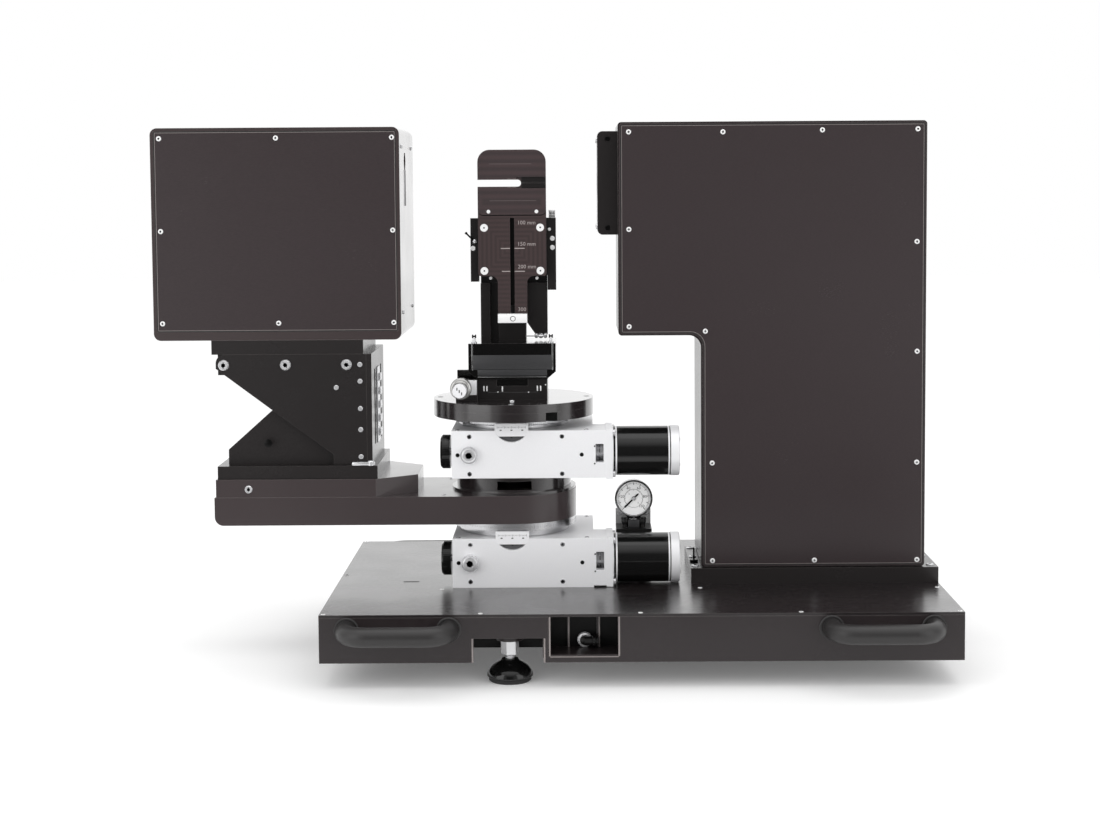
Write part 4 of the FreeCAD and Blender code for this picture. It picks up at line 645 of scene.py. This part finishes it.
def edge_lines(name, body, outline, rounds, faces):
    """The dark joint, and a painted highlight along the broken edge, that run round a pair of covers."""
    for kind, inset, width, finish in (("joint", 1.3, 1.1, engraving), ("painted_highlight", 2.6, 0.5, cut_edge)):
        lines = bmesh.new()
        for y in faces:
            add_part(lines, edge_line(outline, rounds, y, inset, width))
        new_piece(name + "_cover_" + kind, lines, finish, body)


cover_black = metal_finish("grained_black_anodised_sheet", "#302a2c", "#3e3637", 0.0, 0.24, 0.45,
                           stretch=(0.15, 1, 1), relief=0.03, edge_mm=0.6, coat=0.7)
# The box frame is a lighter black than its covers, to paint in the highlight along its sill.
box_frame_with_painted_highlight = metal_finish("black_anodised_frame_painted_highlight", "#312a2b", "#443b3b", 0.0, 0.2, 0.5, relief=0.02,
                           edge_mm=0.8, edge_highlight_colour="#8a8482", coat=1.0)
dress(cover_black, "box_covers", "column_covers")
dress(box_frame_with_painted_highlight, "box_frame")
cover_button = socket_screw(2.9, 1.4, 1.3, dome=0.4)
box_spots = [(x, z) for z in (589.3, 381.4) for x in (-433.8, -302.8, -172.8)]
box_spots += [(x, 485.4) for x in (-433.8, -172.8)]
BOX_FACES = (-65.0, 107.0)
for face, direction, y in zip(("front", "rear"), (FRONT, REAR), BOX_FACES):
    screw_row("box_" + face + "_screws", "arm", glint_white_steel, cover_button, direction,
              [(x, y, z) for x, z in box_spots])
BOX_COVER = [(-441.5, 370.5), (-167.0, 370.5), (-167.0, 598.5), (-441.5, 598.5)]
edge_lines("box", "arm", BOX_COVER, ((3, (0, 1, 2, 3)),), BOX_FACES)
# The beam slot is lined with a pale ring, where the light leaves for the sample.
SLOT_X, LINER_LOW, LINER_TOP = -164.5, 512.0, 553.0
liner = bmesh.new()
for y in (-6.9, 6.0):
    add_part(liner, brick((SLOT_X - 7.5, SLOT_X + 0.6), (y, y + 0.9), (LINER_LOW, LINER_TOP), edge=0.2))
new_piece("box_slot_liner", liner, bright_steel, "arm")
screw_row("box_side_screws", "arm", bright_steel, small_button, RIGHT,
          [(SLOT_X, y, z) for y in (-40, 80) for z in (392, 580)])


# Optics in the box: two hollow shaft rotators on their blocks, and a cooled detector.
# Seen only through the slot and with the covers off: anodised rings with dial lines, a steel dewar.
rotor_ring = metal_finish("turned_black_rotor_ring", "#121112", "#201e1f", 0.0, 0.3, 0.4, relief=0.04, ior=1.6)
dewar_steel = metal_finish("spun_stainless_dewar", "#a9a9a8", "#c9c8c6", 1.0, 0.3, 0.6, stretch=(0.2, 0.2, 4))
dress(dark_anodised, "optics_bench", "spectrometer_bed")
dress(rotor_ring, "compensator_rotor", "analyser_rotor", "polariser_rotor")
dress(dewar_steel, "detector_dewar")
screw_row("bench_screws", "arm", dark_steel, cap_screw, UP,
          [(x, y, 384) for x in (-414, -270, -194) for y in (-42, 84)])
BEAM_Z = 536.0
rotator_line = ring_of(brick((22.6, 23.8), (-0.12, 0.12), (-0.02, 0.06)), 36)
for name, body, x in (("compensator", "compensator", -183.0), ("analyser", "analyser", -228.0)):
    ticks = placed(rotator_line, facing(RIGHT, (x, 0, BEAM_Z)))
    new_piece(name + "_dial_lines", ticks, bright_steel, body)


# Column: an L shaped frame of black anodised plate under two sheet covers, on a bolted flange.
# Front and rear covers are alike; each is held along its edge by small stainless button screws.
column_black = metal_finish("milled_black_anodised_column", "#221d1e", "#2f292a", 0.0, 0.24, 0.5, relief=0.02,
                            edge_mm=0.8, edge_highlight_colour="#8a8482", coat=0.2)
dress(column_black, "column_frame")
dress(dark_anodised, "column_flange", "snout")
column_spots = [(92.8, 593.8), (198.8, 593.2), (310.5, 594.7), (417.7, 595.2), (92.7, 484.4), (92.5, 374.4),
                (178.7, 368.8), (417.5, 468.8), (418.4, 344.6), (418.8, 218.1), (186.3, 218.4), (186.6, 106.0),
                (302.9, 106.0), (419.7, 106.0)]
COLUMN_FACES = (-58.0, 70.0)
for face, direction, y in zip(("front", "rear"), (FRONT, REAR), COLUMN_FACES):
    screw_row("column_" + face + "_screws", "root", glint_white_steel, cover_button, direction,
              [(x, y, z) for x, z in column_spots])
COLUMN_COVER = [(82.0, 365.5), (175.5, 365.5), (175.5, 99.5), (427.5, 99.5), (427.5, 603.5), (82.0, 603.5)]
edge_lines("column", "root", COLUMN_COVER, ((4, (0, 2, 3, 4, 5)), (14, (1,))), COLUMN_FACES)
flange_head = socket_screw(4.4, 1.4, 2.0)
screw_row("flange_bolts", "root", bright_steel, flange_head, UP,
          [(x, y, 98) for x in (167.4, 436.4) for y in (-48, 6, 60)])
# A dowel with its black cap sits beside the leg, where the column is set square on the plinth.
dowel = spun([(0, 0), (1.1, 0), (1.1, 15.5), (0.6, 16.5), (0, 16.5)], sides=16)
add_part(dowel, spun([(0, 0), (4.4, 0), (5.0, 0.5), (5.0, 1.9), (4.2, 2.6), (0, 2.6)], sides=28))
place_pin = placed(dowel, facing(UP, (167.4, -22, 98)))
new_piece("column_dowel", place_pin, dark_steel, "root")


# Snout and polariser: the milled nose that the beam leaves by, and a ring that turns in its bore.
# The ring is anodised, with silver degree lines; small screws hold the snout's front and face.
dress(rotor_ring, "polariser_rotor")
polariser_ticks = bmesh.new()
for step in range(36):
    length = 2.2 if step % 3 == 0 else 1.3
    add_part(polariser_ticks, brick((23.2 - length, 23.2), (-0.12, 0.12), (-0.02, 0.07)),
             facing(UP, (0, 0, 0), turn=10 * step))
ticks = placed(polariser_ticks, facing(LEFT, (63.6, 0, BEAM_Z)))
new_piece("polariser_dial_lines", ticks, bright_steel, "polariser")
screw_row("snout_front_screws", "root", dark_steel, small_button, FRONT, [(69, -35, z) for z in (486, 587)])
screw_row("snout_face_screws", "root", bright_steel, small_button, LEFT,
          [(57.6, y, z) for y in (-28, 28) for z in (487, 586)])


# Inside the column: the source housing on its bed, and the scanning mirror on two slide rods.
# The bed is anodised black like the bench in the box; the mirror is silvered on its front.
mirror_glass = metal_finish("front_silvered_mirror", "#c4c6c8", "#d6d8da", 1.0, 0.04, 2.0, relief=0.0, smudge=0.01)
dress(mirror_glass, "scan_mirror")
screw_row("source_bed_screws", "root", dark_steel, cap_screw, UP,
          [(x, y, 448) for x in (276, 412) for y in (-40, 52)])


# Sample table: two stacked discs of turned aluminium, black anodised, on the upper steel ring.
# Spare stages are screwed down by the plugged holes near the rim.
TABLE_TOP = 289.5
rim_plug = spun([(0, 0), (3.2, 0), (3.2, 0.12), (2.5, 0.25), (1.4, 0.25), (1.2, 0.05), (0, 0.05)], sides=28)
screw_row("table_rim_plugs", "table", bright_steel, rim_plug, UP,
          [(AXIS_X + x, y, TABLE_TOP) for x, y in ((0, -84), (0, 84))])
screw_row("table_front_screw", "table", bright_steel, small_button, UP, [(AXIS_X, -52, TABLE_TOP)])
# A thin gloss black sheet inside the wrench notch of the lower disc paints the shade in it.
NOTCH_FLOOR = -78.8
notch_painted_shade = brick((-1.8, 10.8), (NOTCH_FLOOR - 0.25, NOTCH_FLOOR - 0.02), (270.2, 279.8))
new_piece("table_notch_paint", notch_painted_shade, gloss_black, "table")


# Cross slide: a base with a dovetail on the table, and a micrometer that pushes the block across.
# The base's front shows five clamp slots with bright dowels, and the joint of its gib.
dense_black = metal_finish("deep_black_anodised_slide", "#1d1b1b", "#292626", 0.0, 0.3, 0.4, relief=0.03,
                           edge_mm=0.5, edge_highlight_colour="#6a6665", coat=0.3)
block_black = metal_finish("polished_black_anodised_block", "#070606", "#0d0c0c", 0.0, 0.12, 0.4, relief=0.02,
                           edge_mm=0.4, edge_highlight_colour="#6a6665", coat=1.0)
dress(dense_black, "cross_base", "tower", "tilt_block")
dress(block_black, "slide_block")
clamp_pins = bmesh.new()
for x, low in ((-73.6, 299.5), (-70.2, 299.5), (-52.4, 299.0), (-12.3, 299.6), (-8.6, 299.6)):
    add_part(clamp_pins, brick((x - 0.75, x + 0.75), (-35.4, -34.9), (low, low + 6.0), edge=0.2))
for x, z in ((-57.6, 298.4), (-22.5, 298.2), (-2.8, 306.6)):
    add_part(clamp_pins, spun([(0, 0), (0.8, 0), (0.6, 0.4), (0, 0.4)], sides=12), facing(FRONT, (x, -35, z)))
new_piece("cross_base_clamp_pins", clamp_pins, glint_white_steel, "table")
gib_line = bmesh.new()
add_part(gib_line, brick((-68, -12.4), (-35.06, -34.9), (298.0, 298.4)))
for x in (-68, -12.4):
    add_part(gib_line, brick((x - 0.15, x + 0.15), (-35.06, -34.9), (298.2, 303.6)))
new_piece("cross_base_gib_line", gib_line, turned_steel, "table")


# Micrometer: a satin chromed spindle, a turned drum with a coin knurled grip, and a ratchet stop.
# Its scales are engraved and filled; the thimble turns once for each millimetre.
satin_chrome = metal_finish("satin_chromed_micrometer", "#b4b4b4", "#d2d2d2", 1.0, 0.22, 0.4,
                            stretch=(0.2, 4, 0.2))
SCREW_X, SCREW_Z = -98.0, 306.0
dress(satin_chrome, "micrometer_spindle")
drum = spun([(5.4, 3.0), (5.4, 0), (9.2, 0), (9.6, 0.6), (9.6, 5.4), (11.4, 6.0), (11.7, 6.4), (11.7, 15.6),
             (11.4, 16), (9.9, 16.6), (9.7, 21.4), (8.9, 22.0), (8.7, 28.0), (0, 28.0), (0, 3.0), (5.4, 3.0)],
            sides=56)
add_part(drum, ring_of(brick((11.5, 12.1), (-0.26, 0.26), (6.6, 15.4), edge=0.1), 60))
at_screw = facing(FRONT, (SCREW_X, -56.5, SCREW_Z))
thimble = placed(drum, at_screw)
new_piece("micrometer_drum", thimble, dewar_steel, "thimble", ["micrometer_thimble"])
stop = spun([(0, 28.0), (7.2, 28.0), (7.2, 28.8), (7.9, 29.2), (7.9, 39.2), (7.3, 40.0), (0, 40.0)], sides=48)
ratchet = placed(stop, at_screw)
new_piece("micrometer_ratchet_stop", ratchet, clear_alloy, "thimble")
cap_marks = bmesh.new()
for x, z in ((-2.6, 2.6), (0.0, 0.0), (2.6, -2.6)):
    add_part(cap_marks, brick((x - 0.55, x + 0.55), (z - 1.6, z + 1.6), (39.95, 40.1)), at_screw)
for step in range(25):
    add_part(cap_marks, brick((9.56, 9.66), (-0.12, 0.12), (0.8, 4.6 if step % 5 == 0 else 2.6)),
             at_screw @ Matrix.Rotation(math.radians(14.4 * step), 4, "Z"))
new_piece("micrometer_drum_scale", cap_marks, engraving, "thimble")
bracket_cap = brick((-104.5, -81.4), (-42.3, -41.9), (296, 313), edge=0.15)
new_piece("micrometer_bracket_plate", bracket_cap, clear_alloy, "table")


# Slide block: a chamfered body of two plates; the lower one is ground grey on its front, between
# two polished edges. Two black spools on plated seats stand on top.
ground_grey = metal_finish("ground_dark_grey_plate", "#3a3a3b", "#464648", 0.3, 0.34, 0.4, stretch=(0.1, 1, 1),
                           relief=0.04, ior=1.5)
front_plate = brick((-85.5, 4.5), (-38.7, -37.9), (324.5, 341.3), edge=0.15)
add_part(front_plate, brick((-80.5, -1.0), (-38.7, -37.9), (317.6, 325.2), edge=0.15))
new_piece("slide_front_plate", front_plate, ground_grey, "cross_slide")
polished_edges = bmesh.new()
for x in (-86.5, 5.3):
    add_part(polished_edges, brick((x - 0.8, x + 0.8), (-38.5, -37.9), (324, 354.2), edge=0.15))
add_part(polished_edges, brick((-80.3, -1.7), (-38.4, -37.9), (315.6, 316.5), edge=0.1))
new_piece("slide_polished_edges", polished_edges, satin_chrome, "cross_slide")
spool = spun([(0, -2.4), (2.1, -2.4), (2.1, -1.1), (1.0, -0.8), (1.0, 0.8), (2.1, 1.1), (2.1, 2.4), (0, 2.4)],
             sides=20)
spools, seats = bmesh.new(), bmesh.new()
for x in (-84.5, 3.5):
    add_part(spools, spool, facing(RIGHT, (x, -31, 362.4)))
    add_part(seats, spun([(0, 0), (3.2, 0), (3.2, 1.6), (1.8, 2.2), (1.3, 6.2), (0, 6.2)], sides=24),
             facing(UP, (x, -31, 354.5)))
new_piece("slide_spools", spools, dark_steel, "cross_slide")
new_piece("slide_spool_seats", seats, bright_steel, "cross_slide", ["slide_adjusters"])


# Tower: a machined upright on the slide block, with a slender neck that carries the tilt block.
# A plated pivot fitting with its spring rod joins it to the block on the right.
pivot = spun([(0, -7.4), (1.6, -7.4), (2.9, -6.2), (2.9, -4.2), (1.2, -3.0), (2.4, -2.2), (3.3, 0.0), (2.4, 2.2),
              (1.2, 3.0), (2.9, 4.2), (2.9, 6.2), (1.6, 7.4), (0, 7.4)], sides=28)
fitting = placed(pivot, facing(RIGHT, (-8.8, 13.8, 359.4)))
add_part(fitting, spun([(0, 0), (0.7, 0), (0.7, 11.0), (0, 11.0)], sides=12), facing(LEFT, (-15.6, 13.8, 359.0)))
new_piece("tower_pivot_fitting", fitting, bright_steel, "cross_slide")


# Tilt block: hangs on the tower's pin and leans the sample by a fine screw at its upper right.
# Stainless screws hold it together; a small lever on the left locks it.
ring_screw = spun([(0, 0), (2.9, 0), (2.9, 0.9), (2.5, 1.3), (1.2, 1.3), (1.0, 0.5), (0, 0.5)], sides=28)
screw_row("tilt_block_screws", "sample_plate", glint_white_steel, ring_screw, FRONT,
          [(-87.0, 12, 461.9), (5.4, 12, 473.1), (5.4, 12, 462.5)])
small_pin = spun([(0, 0), (1.9, 0), (1.9, 0.7), (1.4, 1.1), (0, 1.1)], sides=20)
screw_row("tilt_block_pins", "sample_plate", glint_white_steel, small_pin, FRONT,
          [(2.0, 12, 483.7), (-66.8, 12, 427.2), (-12.8, 12, 427.0)])
lever_ball = placed(spun([(0, 0), (2.0, 0.3), (2.6, 1.6), (2.4, 3.0), (1.4, 3.9), (0, 4.2)], sides=24),
                      facing(FRONT, (-85.2, 12, 470.0)))
new_piece("tilt_lever_ball", lever_ball, bright_steel, "sample_plate")
lever_rod = placed(spun([(0, 0), (1.0, 0), (1.0, 12.6), (1.5, 13.0), (1.5, 14.6), (1.0, 15.0), (0, 15.0)],
                                       sides=16), facing((-0.70, -0.10, 0.71), (-85.2, 9.6, 470.0)))
new_piece("tilt_lever_rod", lever_rod, dark_steel, "sample_plate")
knob_outline = [(0, 0.05), (4.0, 0.05)]
for z in (0.6, 2.4, 4.2, 6.0):
    knob_outline += [(4.0, z), (2.9, z + 0.1), (2.9, z + 0.9), (4.0, z + 1.0)]
knob_outline += [(4.0, 8.6), (3.6, 9.0), (0, 9.0)]
tip_head = placed(spun(knob_outline, sides=36), facing(UP, (5, 18, 497)))
new_piece("tip_knob_head", tip_head, glint_white_steel, "tip_knob", ["tip_knob"])
knob_grooves = placed(spun([(0, 0.6), (3.5, 0.6), (3.5, 7.0), (0, 7.0)], sides=36),
                        facing(UP, (5, 18, 497)))
new_piece("tip_knob_grooves", knob_grooves, dark_steel, "tip_knob")


# Sample plate: a T of aluminium plate, pocketed in nested rectangles by the cutter and anodised,
# so each pass shows as a faint brown band. Wafer sizes are engraved beside the ledge's groove.
def cutter_tracks(name, centre_x, centre_z, core_x, core_z, pitch, dark, light):
    """The finish of a face milled in passes round a core rectangle; sizes in millimetres."""
    material = metal_finish(name, dark, light, 0.0, 0.3, 0.5, relief=0.03, edge_mm=0.5,
                            edge_highlight_colour="#6b6463", ior=1.35, coat=0.25)
    tree = material.node_tree
    place = add_node(tree, "ShaderNodeTexCoord").outputs["Object"]
    spot = add_node(tree, "ShaderNodeSeparateXYZ", {0: place}).outputs
    steps = []
    for axis, centre, core in (("X", centre_x, core_x), ("Z", centre_z, core_z)):
        far = maths(tree, "ABSOLUTE", maths(tree, "SUBTRACT", spot[axis], centre * MM))
        steps.append(maths(tree, "SUBTRACT", far, core * MM))
    angle = maths(tree, "MULTIPLY", maths(tree, "MAXIMUM", *steps), math.tau / (pitch * MM))
    band = ranged(tree, maths(tree, "SINE", angle), -1.0, 1.0, 0.0, 0.26)
    shader = next(node for node in tree.nodes if node.bl_idname == "ShaderNodeBsdfPrincipled")
    plain = shader.inputs["Base Color"].links[0].from_socket
    tree.links.new(blended(tree, band, plain, linear("#5a4748")), shader.inputs["Base Color"])
    return material


dress(cutter_tracks("pocket_milled_brown_black_plate", AXIS_X, 461, 10, 6, 5.2, "#342b2b", "#433939"),
      "sample_plate")
pale_engraving = metal_finish("pale_engraved_figures", "#978e8c", "#b0a7a5", 0.0, 0.5, 0.3, ior=1.4)
figures = bmesh.new()
for words, x, z in (("100 mm", -24.4, 491.6), ("150 mm", -24.4, 466.9), ("200 mm", -24.0, 440.6),
                    ("300", -30.2, 391.0)):
    add_part(figures, lettering(words, 4.6), facing(FRONT, (x, 0, z)))
for low, high, z in ((-54.2, -43.6, 462.0), (-38.4, -26.6, 462.0), (-53.2, -43.6, 435.4), (-38.4, -26.6, 435.4)):
    add_part(figures, brick((low, high), (-0.08, 0.05), (z - 0.5, z + 0.5)))
new_piece("wafer_size_engraving", figures, pale_engraving, "sample_plate")
# A near-black strip on the floor of the ledge's groove paints the shade in it.
groove_painted_shade = brick((-43.4, -38.6), (3.88, 3.97), (387, 497))
new_piece("ledge_groove_floor", groove_painted_shade, dark_steel, "sample_plate")
# Flush screws of the plate, turned stainless with a painted glint; the CAD screws are dressed as they are.
dress(glint_white_steel, "sample_plate_screws")
screw_keys = bmesh.new()
for x in (-73.5, -8.5):
    for z in (486, 436):
        add_part(screw_keys, spun([(0, 0), (1.1, 0), (1.1, 0.06), (0, 0.06)], sides=6), facing(FRONT, (x, 0.2, z)))
new_piece("plate_screw_keys", screw_keys, satin_chrome, "sample_plate")


# Transmission plate: bridges the beam with a slot open to the left and a milled relief beyond it.
# It stands proud over a painted shadow strip, with two index lines and two small screws at its foot.
def cut_plate(outline, y, rounds):
    """A plate cut to an outline in X and Z, between two places on Y; sizes in millimetres."""
    return thickened(flat_outline(outline, y[0], rounds), (0, y[1] - y[0], 0))


PLATE_LEFT, PLATE_RIGHT, PLATE_FOOT, PLATE_TOP = AXIS_X - 39.5, AXIS_X + 39.5, 501.0, 576.0
SLOT_FLOOR, SLOT_ROOF, SLOT_END, PROUD = 533.4, 541.4, -30.3, -0.8
RELIEF_FLOOR, RELIEF_ROOF, RELIEF_DEPTH = 531.2, 544.6, 2.6
bridge = cut_plate(
    [(PLATE_LEFT, PLATE_FOOT), (PLATE_RIGHT, PLATE_FOOT), (PLATE_RIGHT, PLATE_TOP), (PLATE_LEFT, PLATE_TOP),
     (PLATE_LEFT, SLOT_ROOF), (SLOT_END, SLOT_ROOF), (SLOT_END, SLOT_FLOOR), (PLATE_LEFT, SLOT_FLOOR)],
    (RELIEF_DEPTH, 8), ((6, (0, 1)), (14, (2, 3)), (3.95, (5, 6))))
add_part(bridge, cut_plate(
    [(PLATE_LEFT, SLOT_ROOF), (SLOT_END - 8, SLOT_ROOF), (SLOT_END - 5, RELIEF_ROOF), (PLATE_RIGHT, RELIEF_ROOF),
     (PLATE_RIGHT, PLATE_TOP), (PLATE_LEFT, PLATE_TOP)], (PROUD, RELIEF_DEPTH), ((14, (4, 5)),)))
add_part(bridge, cut_plate(
    [(PLATE_LEFT, PLATE_FOOT), (PLATE_RIGHT, PLATE_FOOT), (PLATE_RIGHT, RELIEF_FLOOR),
     (SLOT_END - 5, RELIEF_FLOOR), (SLOT_END - 8, SLOT_FLOOR), (PLATE_LEFT, SLOT_FLOOR)],
    (PROUD, RELIEF_DEPTH), ((6, (0, 1)),)))
new_piece("transmission_plate_cut", bridge,
          cutter_tracks("face_milled_brown_black_plate", AXIS_X, 516, 34, 4, 9.0, "#372f30", "#433a3b"),
          "sample_plate", ["transmission_plate"])
# A dark sheet over the relief's floor, with its rib, paints the shade in the recess.
relief = brick((SLOT_END + 0.2, PLATE_RIGHT - 0.1), (RELIEF_DEPTH - 0.3, RELIEF_DEPTH - 0.05),
                                     (RELIEF_FLOOR + 0.1, RELIEF_ROOF - 0.1))
add_part(relief, brick((SLOT_END + 1.5, PLATE_RIGHT - 0.1), (0.4, RELIEF_DEPTH - 0.3), (537.0, 538.6), edge=0.3))
new_piece("transmission_relief_painted_shade", relief, dense_black, "sample_plate")
# A near-black strip round the plate's foot paints the shadow under its proud edge.
foot_painted_shadow = cut_plate([(PLATE_LEFT, PLATE_FOOT - 1.3), (PLATE_RIGHT, PLATE_FOOT - 1.3),
                         (PLATE_RIGHT, PLATE_FOOT + 9), (PLATE_LEFT, PLATE_FOOT + 9)],
                        (-0.06, 0.05), ((6.5, (0, 1)),))
new_piece("transmission_foot_groove", foot_painted_shadow, shade_black_finish, "sample_plate")
faint_scribing = metal_finish("faint_scribed_line", "#5a504f", "#736968", 0.0, 0.5, 0.3, ior=1.4)
scribed = bmesh.new()
for low, high, z in ((-66.8, -18.4, 559.6), (-66.8, -13.0, 517.2)):
    add_part(scribed, brick((low, high), (PROUD - 0.05, PROUD + 0.05), (z - 0.22, z + 0.22)))
for x, z in ((-44.2, 542.3), (-38.0, 542.3), (-44.2, 532.5), (-38.0, 532.5)):
    add_part(scribed, brick((x - 2.2, x + 2.2), (PROUD - 0.05, PROUD + 0.05), (z - 0.35, z + 0.35)))
new_piece("transmission_scribed_lines", scribed, faint_scribing, "sample_plate")
screw_row("transmission_screws", "sample_plate", glint_white_steel, socket_screw(2.2, 0.9, 0.9), FRONT,
          [(-68.2, PROUD, 504.6), (-12.6, PROUD, 504.6)])


# Ledge: a bar of white acetal on a tongue in the groove; a thin ring marks its screw.
white_acetal = metal_finish("white_acetal", "#ececec", "#fafafa", 0.0, 0.4, 1.0, relief=0.03, ior=1.45)
bar = brick((-58, -24), (-10, -0.2), (376, 386.5), edge=0.5)
new_piece("ledge_bar", bar, white_acetal, "ledge", ["sample_ledge"])
tongue = brick((-43.3, -38.7), (-0.2, 3.7), (376, 396), edge=0.3)
new_piece("ledge_tongue", tongue, dark_steel, "ledge")
ring_seat = placed(spun([(2.5, 0), (3.1, 0), (3.1, 0.3), (2.5, 0.3), (2.5, 0)], sides=32),
                     facing(FRONT, (-40.6, -10, 381)))
new_piece("ledge_screw_ring", ring_seat, ground_grey, "ledge")


# Pressure gauge: a stainless case with a white dial, on a hexagon nut over the manifold.
# The dial's two scales are printed; behind it a pale sheet bracket carries the manifold.
GAUGE_X, GAUGE_Z = 98.0, 172.0
dial_white = metal_finish("white_dial_enamel", "#f4f4f4", "#ffffff", 0.0, 0.5, 1.0, relief=0.0, ior=1.45)
pale_sheet = metal_finish("zinc_plated_sheet", "#c9c9c9", "#dededd", 0.5, 0.36, 0.6, relief=0.03)
gauge_steel = metal_finish("polished_gauge_case", "#9c9c9d", "#c4c4c5", 1.0, 0.14, 0.5, relief=0.01)
dress(gauge_steel, "gauge_case")
dress(pale_sheet, "gauge_bracket")
dress(elbow_nylon, "gauge_manifold")
dress(dark_steel, "gauge_needle")
at_dial = facing(FRONT, (GAUGE_X, -19.0, GAUGE_Z))
dial_card = placed(spun([(1.8, 0), (19.6, 0), (19.6, 0.2), (1.8, 0.2), (1.8, 0)], sides=64), at_dial)
new_piece("gauge_dial_card", dial_card, dial_white, "root")
printed = bmesh.new()
for step in range(51):
    long = step % 5 == 0
    tick = brick((15.6 if long else 16.8, 18.6), (-0.36 if long else -0.18, 0.36 if long else 0.18), (0.18, 0.26))
    add_part(printed, tick, at_dial @ Matrix.Rotation(math.radians(225 - 5.4 * step), 4, "Z"))
for step in range(31):
    tick = brick((9.0 if step % 5 == 0 else 9.7, 10.6), (-0.16, 0.16), (0.18, 0.26))
    add_part(printed, tick, at_dial @ Matrix.Rotation(math.radians(225 - 9 * step), 4, "Z"))
add_part(printed, spun([(10.6, 0.18), (10.9, 0.18), (10.9, 0.26), (10.6, 0.26), (10.6, 0.18)], sides=64), at_dial)
for scale, ring, figure_size in ((range(0, 101, 20), 13.2, 3.3), (range(0, 7, 2), 7.4, 2.0)):
    for number in scale:
        bearing = math.radians(225 - 270 * number / (100 if ring > 10 else 6))
        figure = facing(FRONT, (GAUGE_X + ring * math.cos(bearing), -19.2, GAUGE_Z + ring * math.sin(bearing)))
        add_part(printed, lettering(str(number), figure_size), figure)
new_piece("gauge_dial_print", printed, engraving, "root")
hub_cap = placed(spun([(0, 0), (2.2, 0), (2.2, 0.5), (1.6, 0.9), (0, 0.9)], sides=28),
                   facing(FRONT, (GAUGE_X, -20.5, GAUGE_Z)))
new_piece("gauge_hub_screw", hub_cap, bright_steel, "needle")
bezel = placed(spun([(19.75, 0.2), (21.9, 0.2), (22.1, 0.9), (21.9, 2.4), (20.9, 3.2), (19.9, 3.2),
                                    (19.75, 2.6), (19.75, 0.2)], sides=72),
               facing(FRONT, (GAUGE_X, -19.6, GAUGE_Z)))
new_piece("gauge_bezel", bezel, gauge_steel, "root")
hexagon = placed(spun([(5.0, 0.3), (7.2, 0.3), (8.0, 0.9), (8.0, 3.9), (7.2, 4.4), (5.0, 4.4), (5.0, 0.3)],
                                     sides=6), facing(UP, (GAUGE_X, -15, 148.0)))
new_piece("gauge_hexagon_nut", hexagon, dark_steel, "root")
manifold_block = brick((91.5, 104.5), (-20.5, -9.5), (138.0, 147.2), edge=0.5)
new_piece("gauge_port_block", manifold_block, ground_grey, "root")
release_rings = bmesh.new()
for x in (88, 108):
    add_part(release_rings, spun([(0, 0), (4.4, 0), (4.9, 0.5), (4.9, 2.0), (4.2, 2.5), (0, 2.5)], sides=32),
             facing(UP, (x, -15, 147.4)))
new_piece("gauge_release_rings", release_rings, gloss_black, "root")
screw_row("gauge_bracket_screws", "root", bright_steel, small_button, FRONT,
          [(x, 8, 150.5) for x in (82.5, 113.5)])
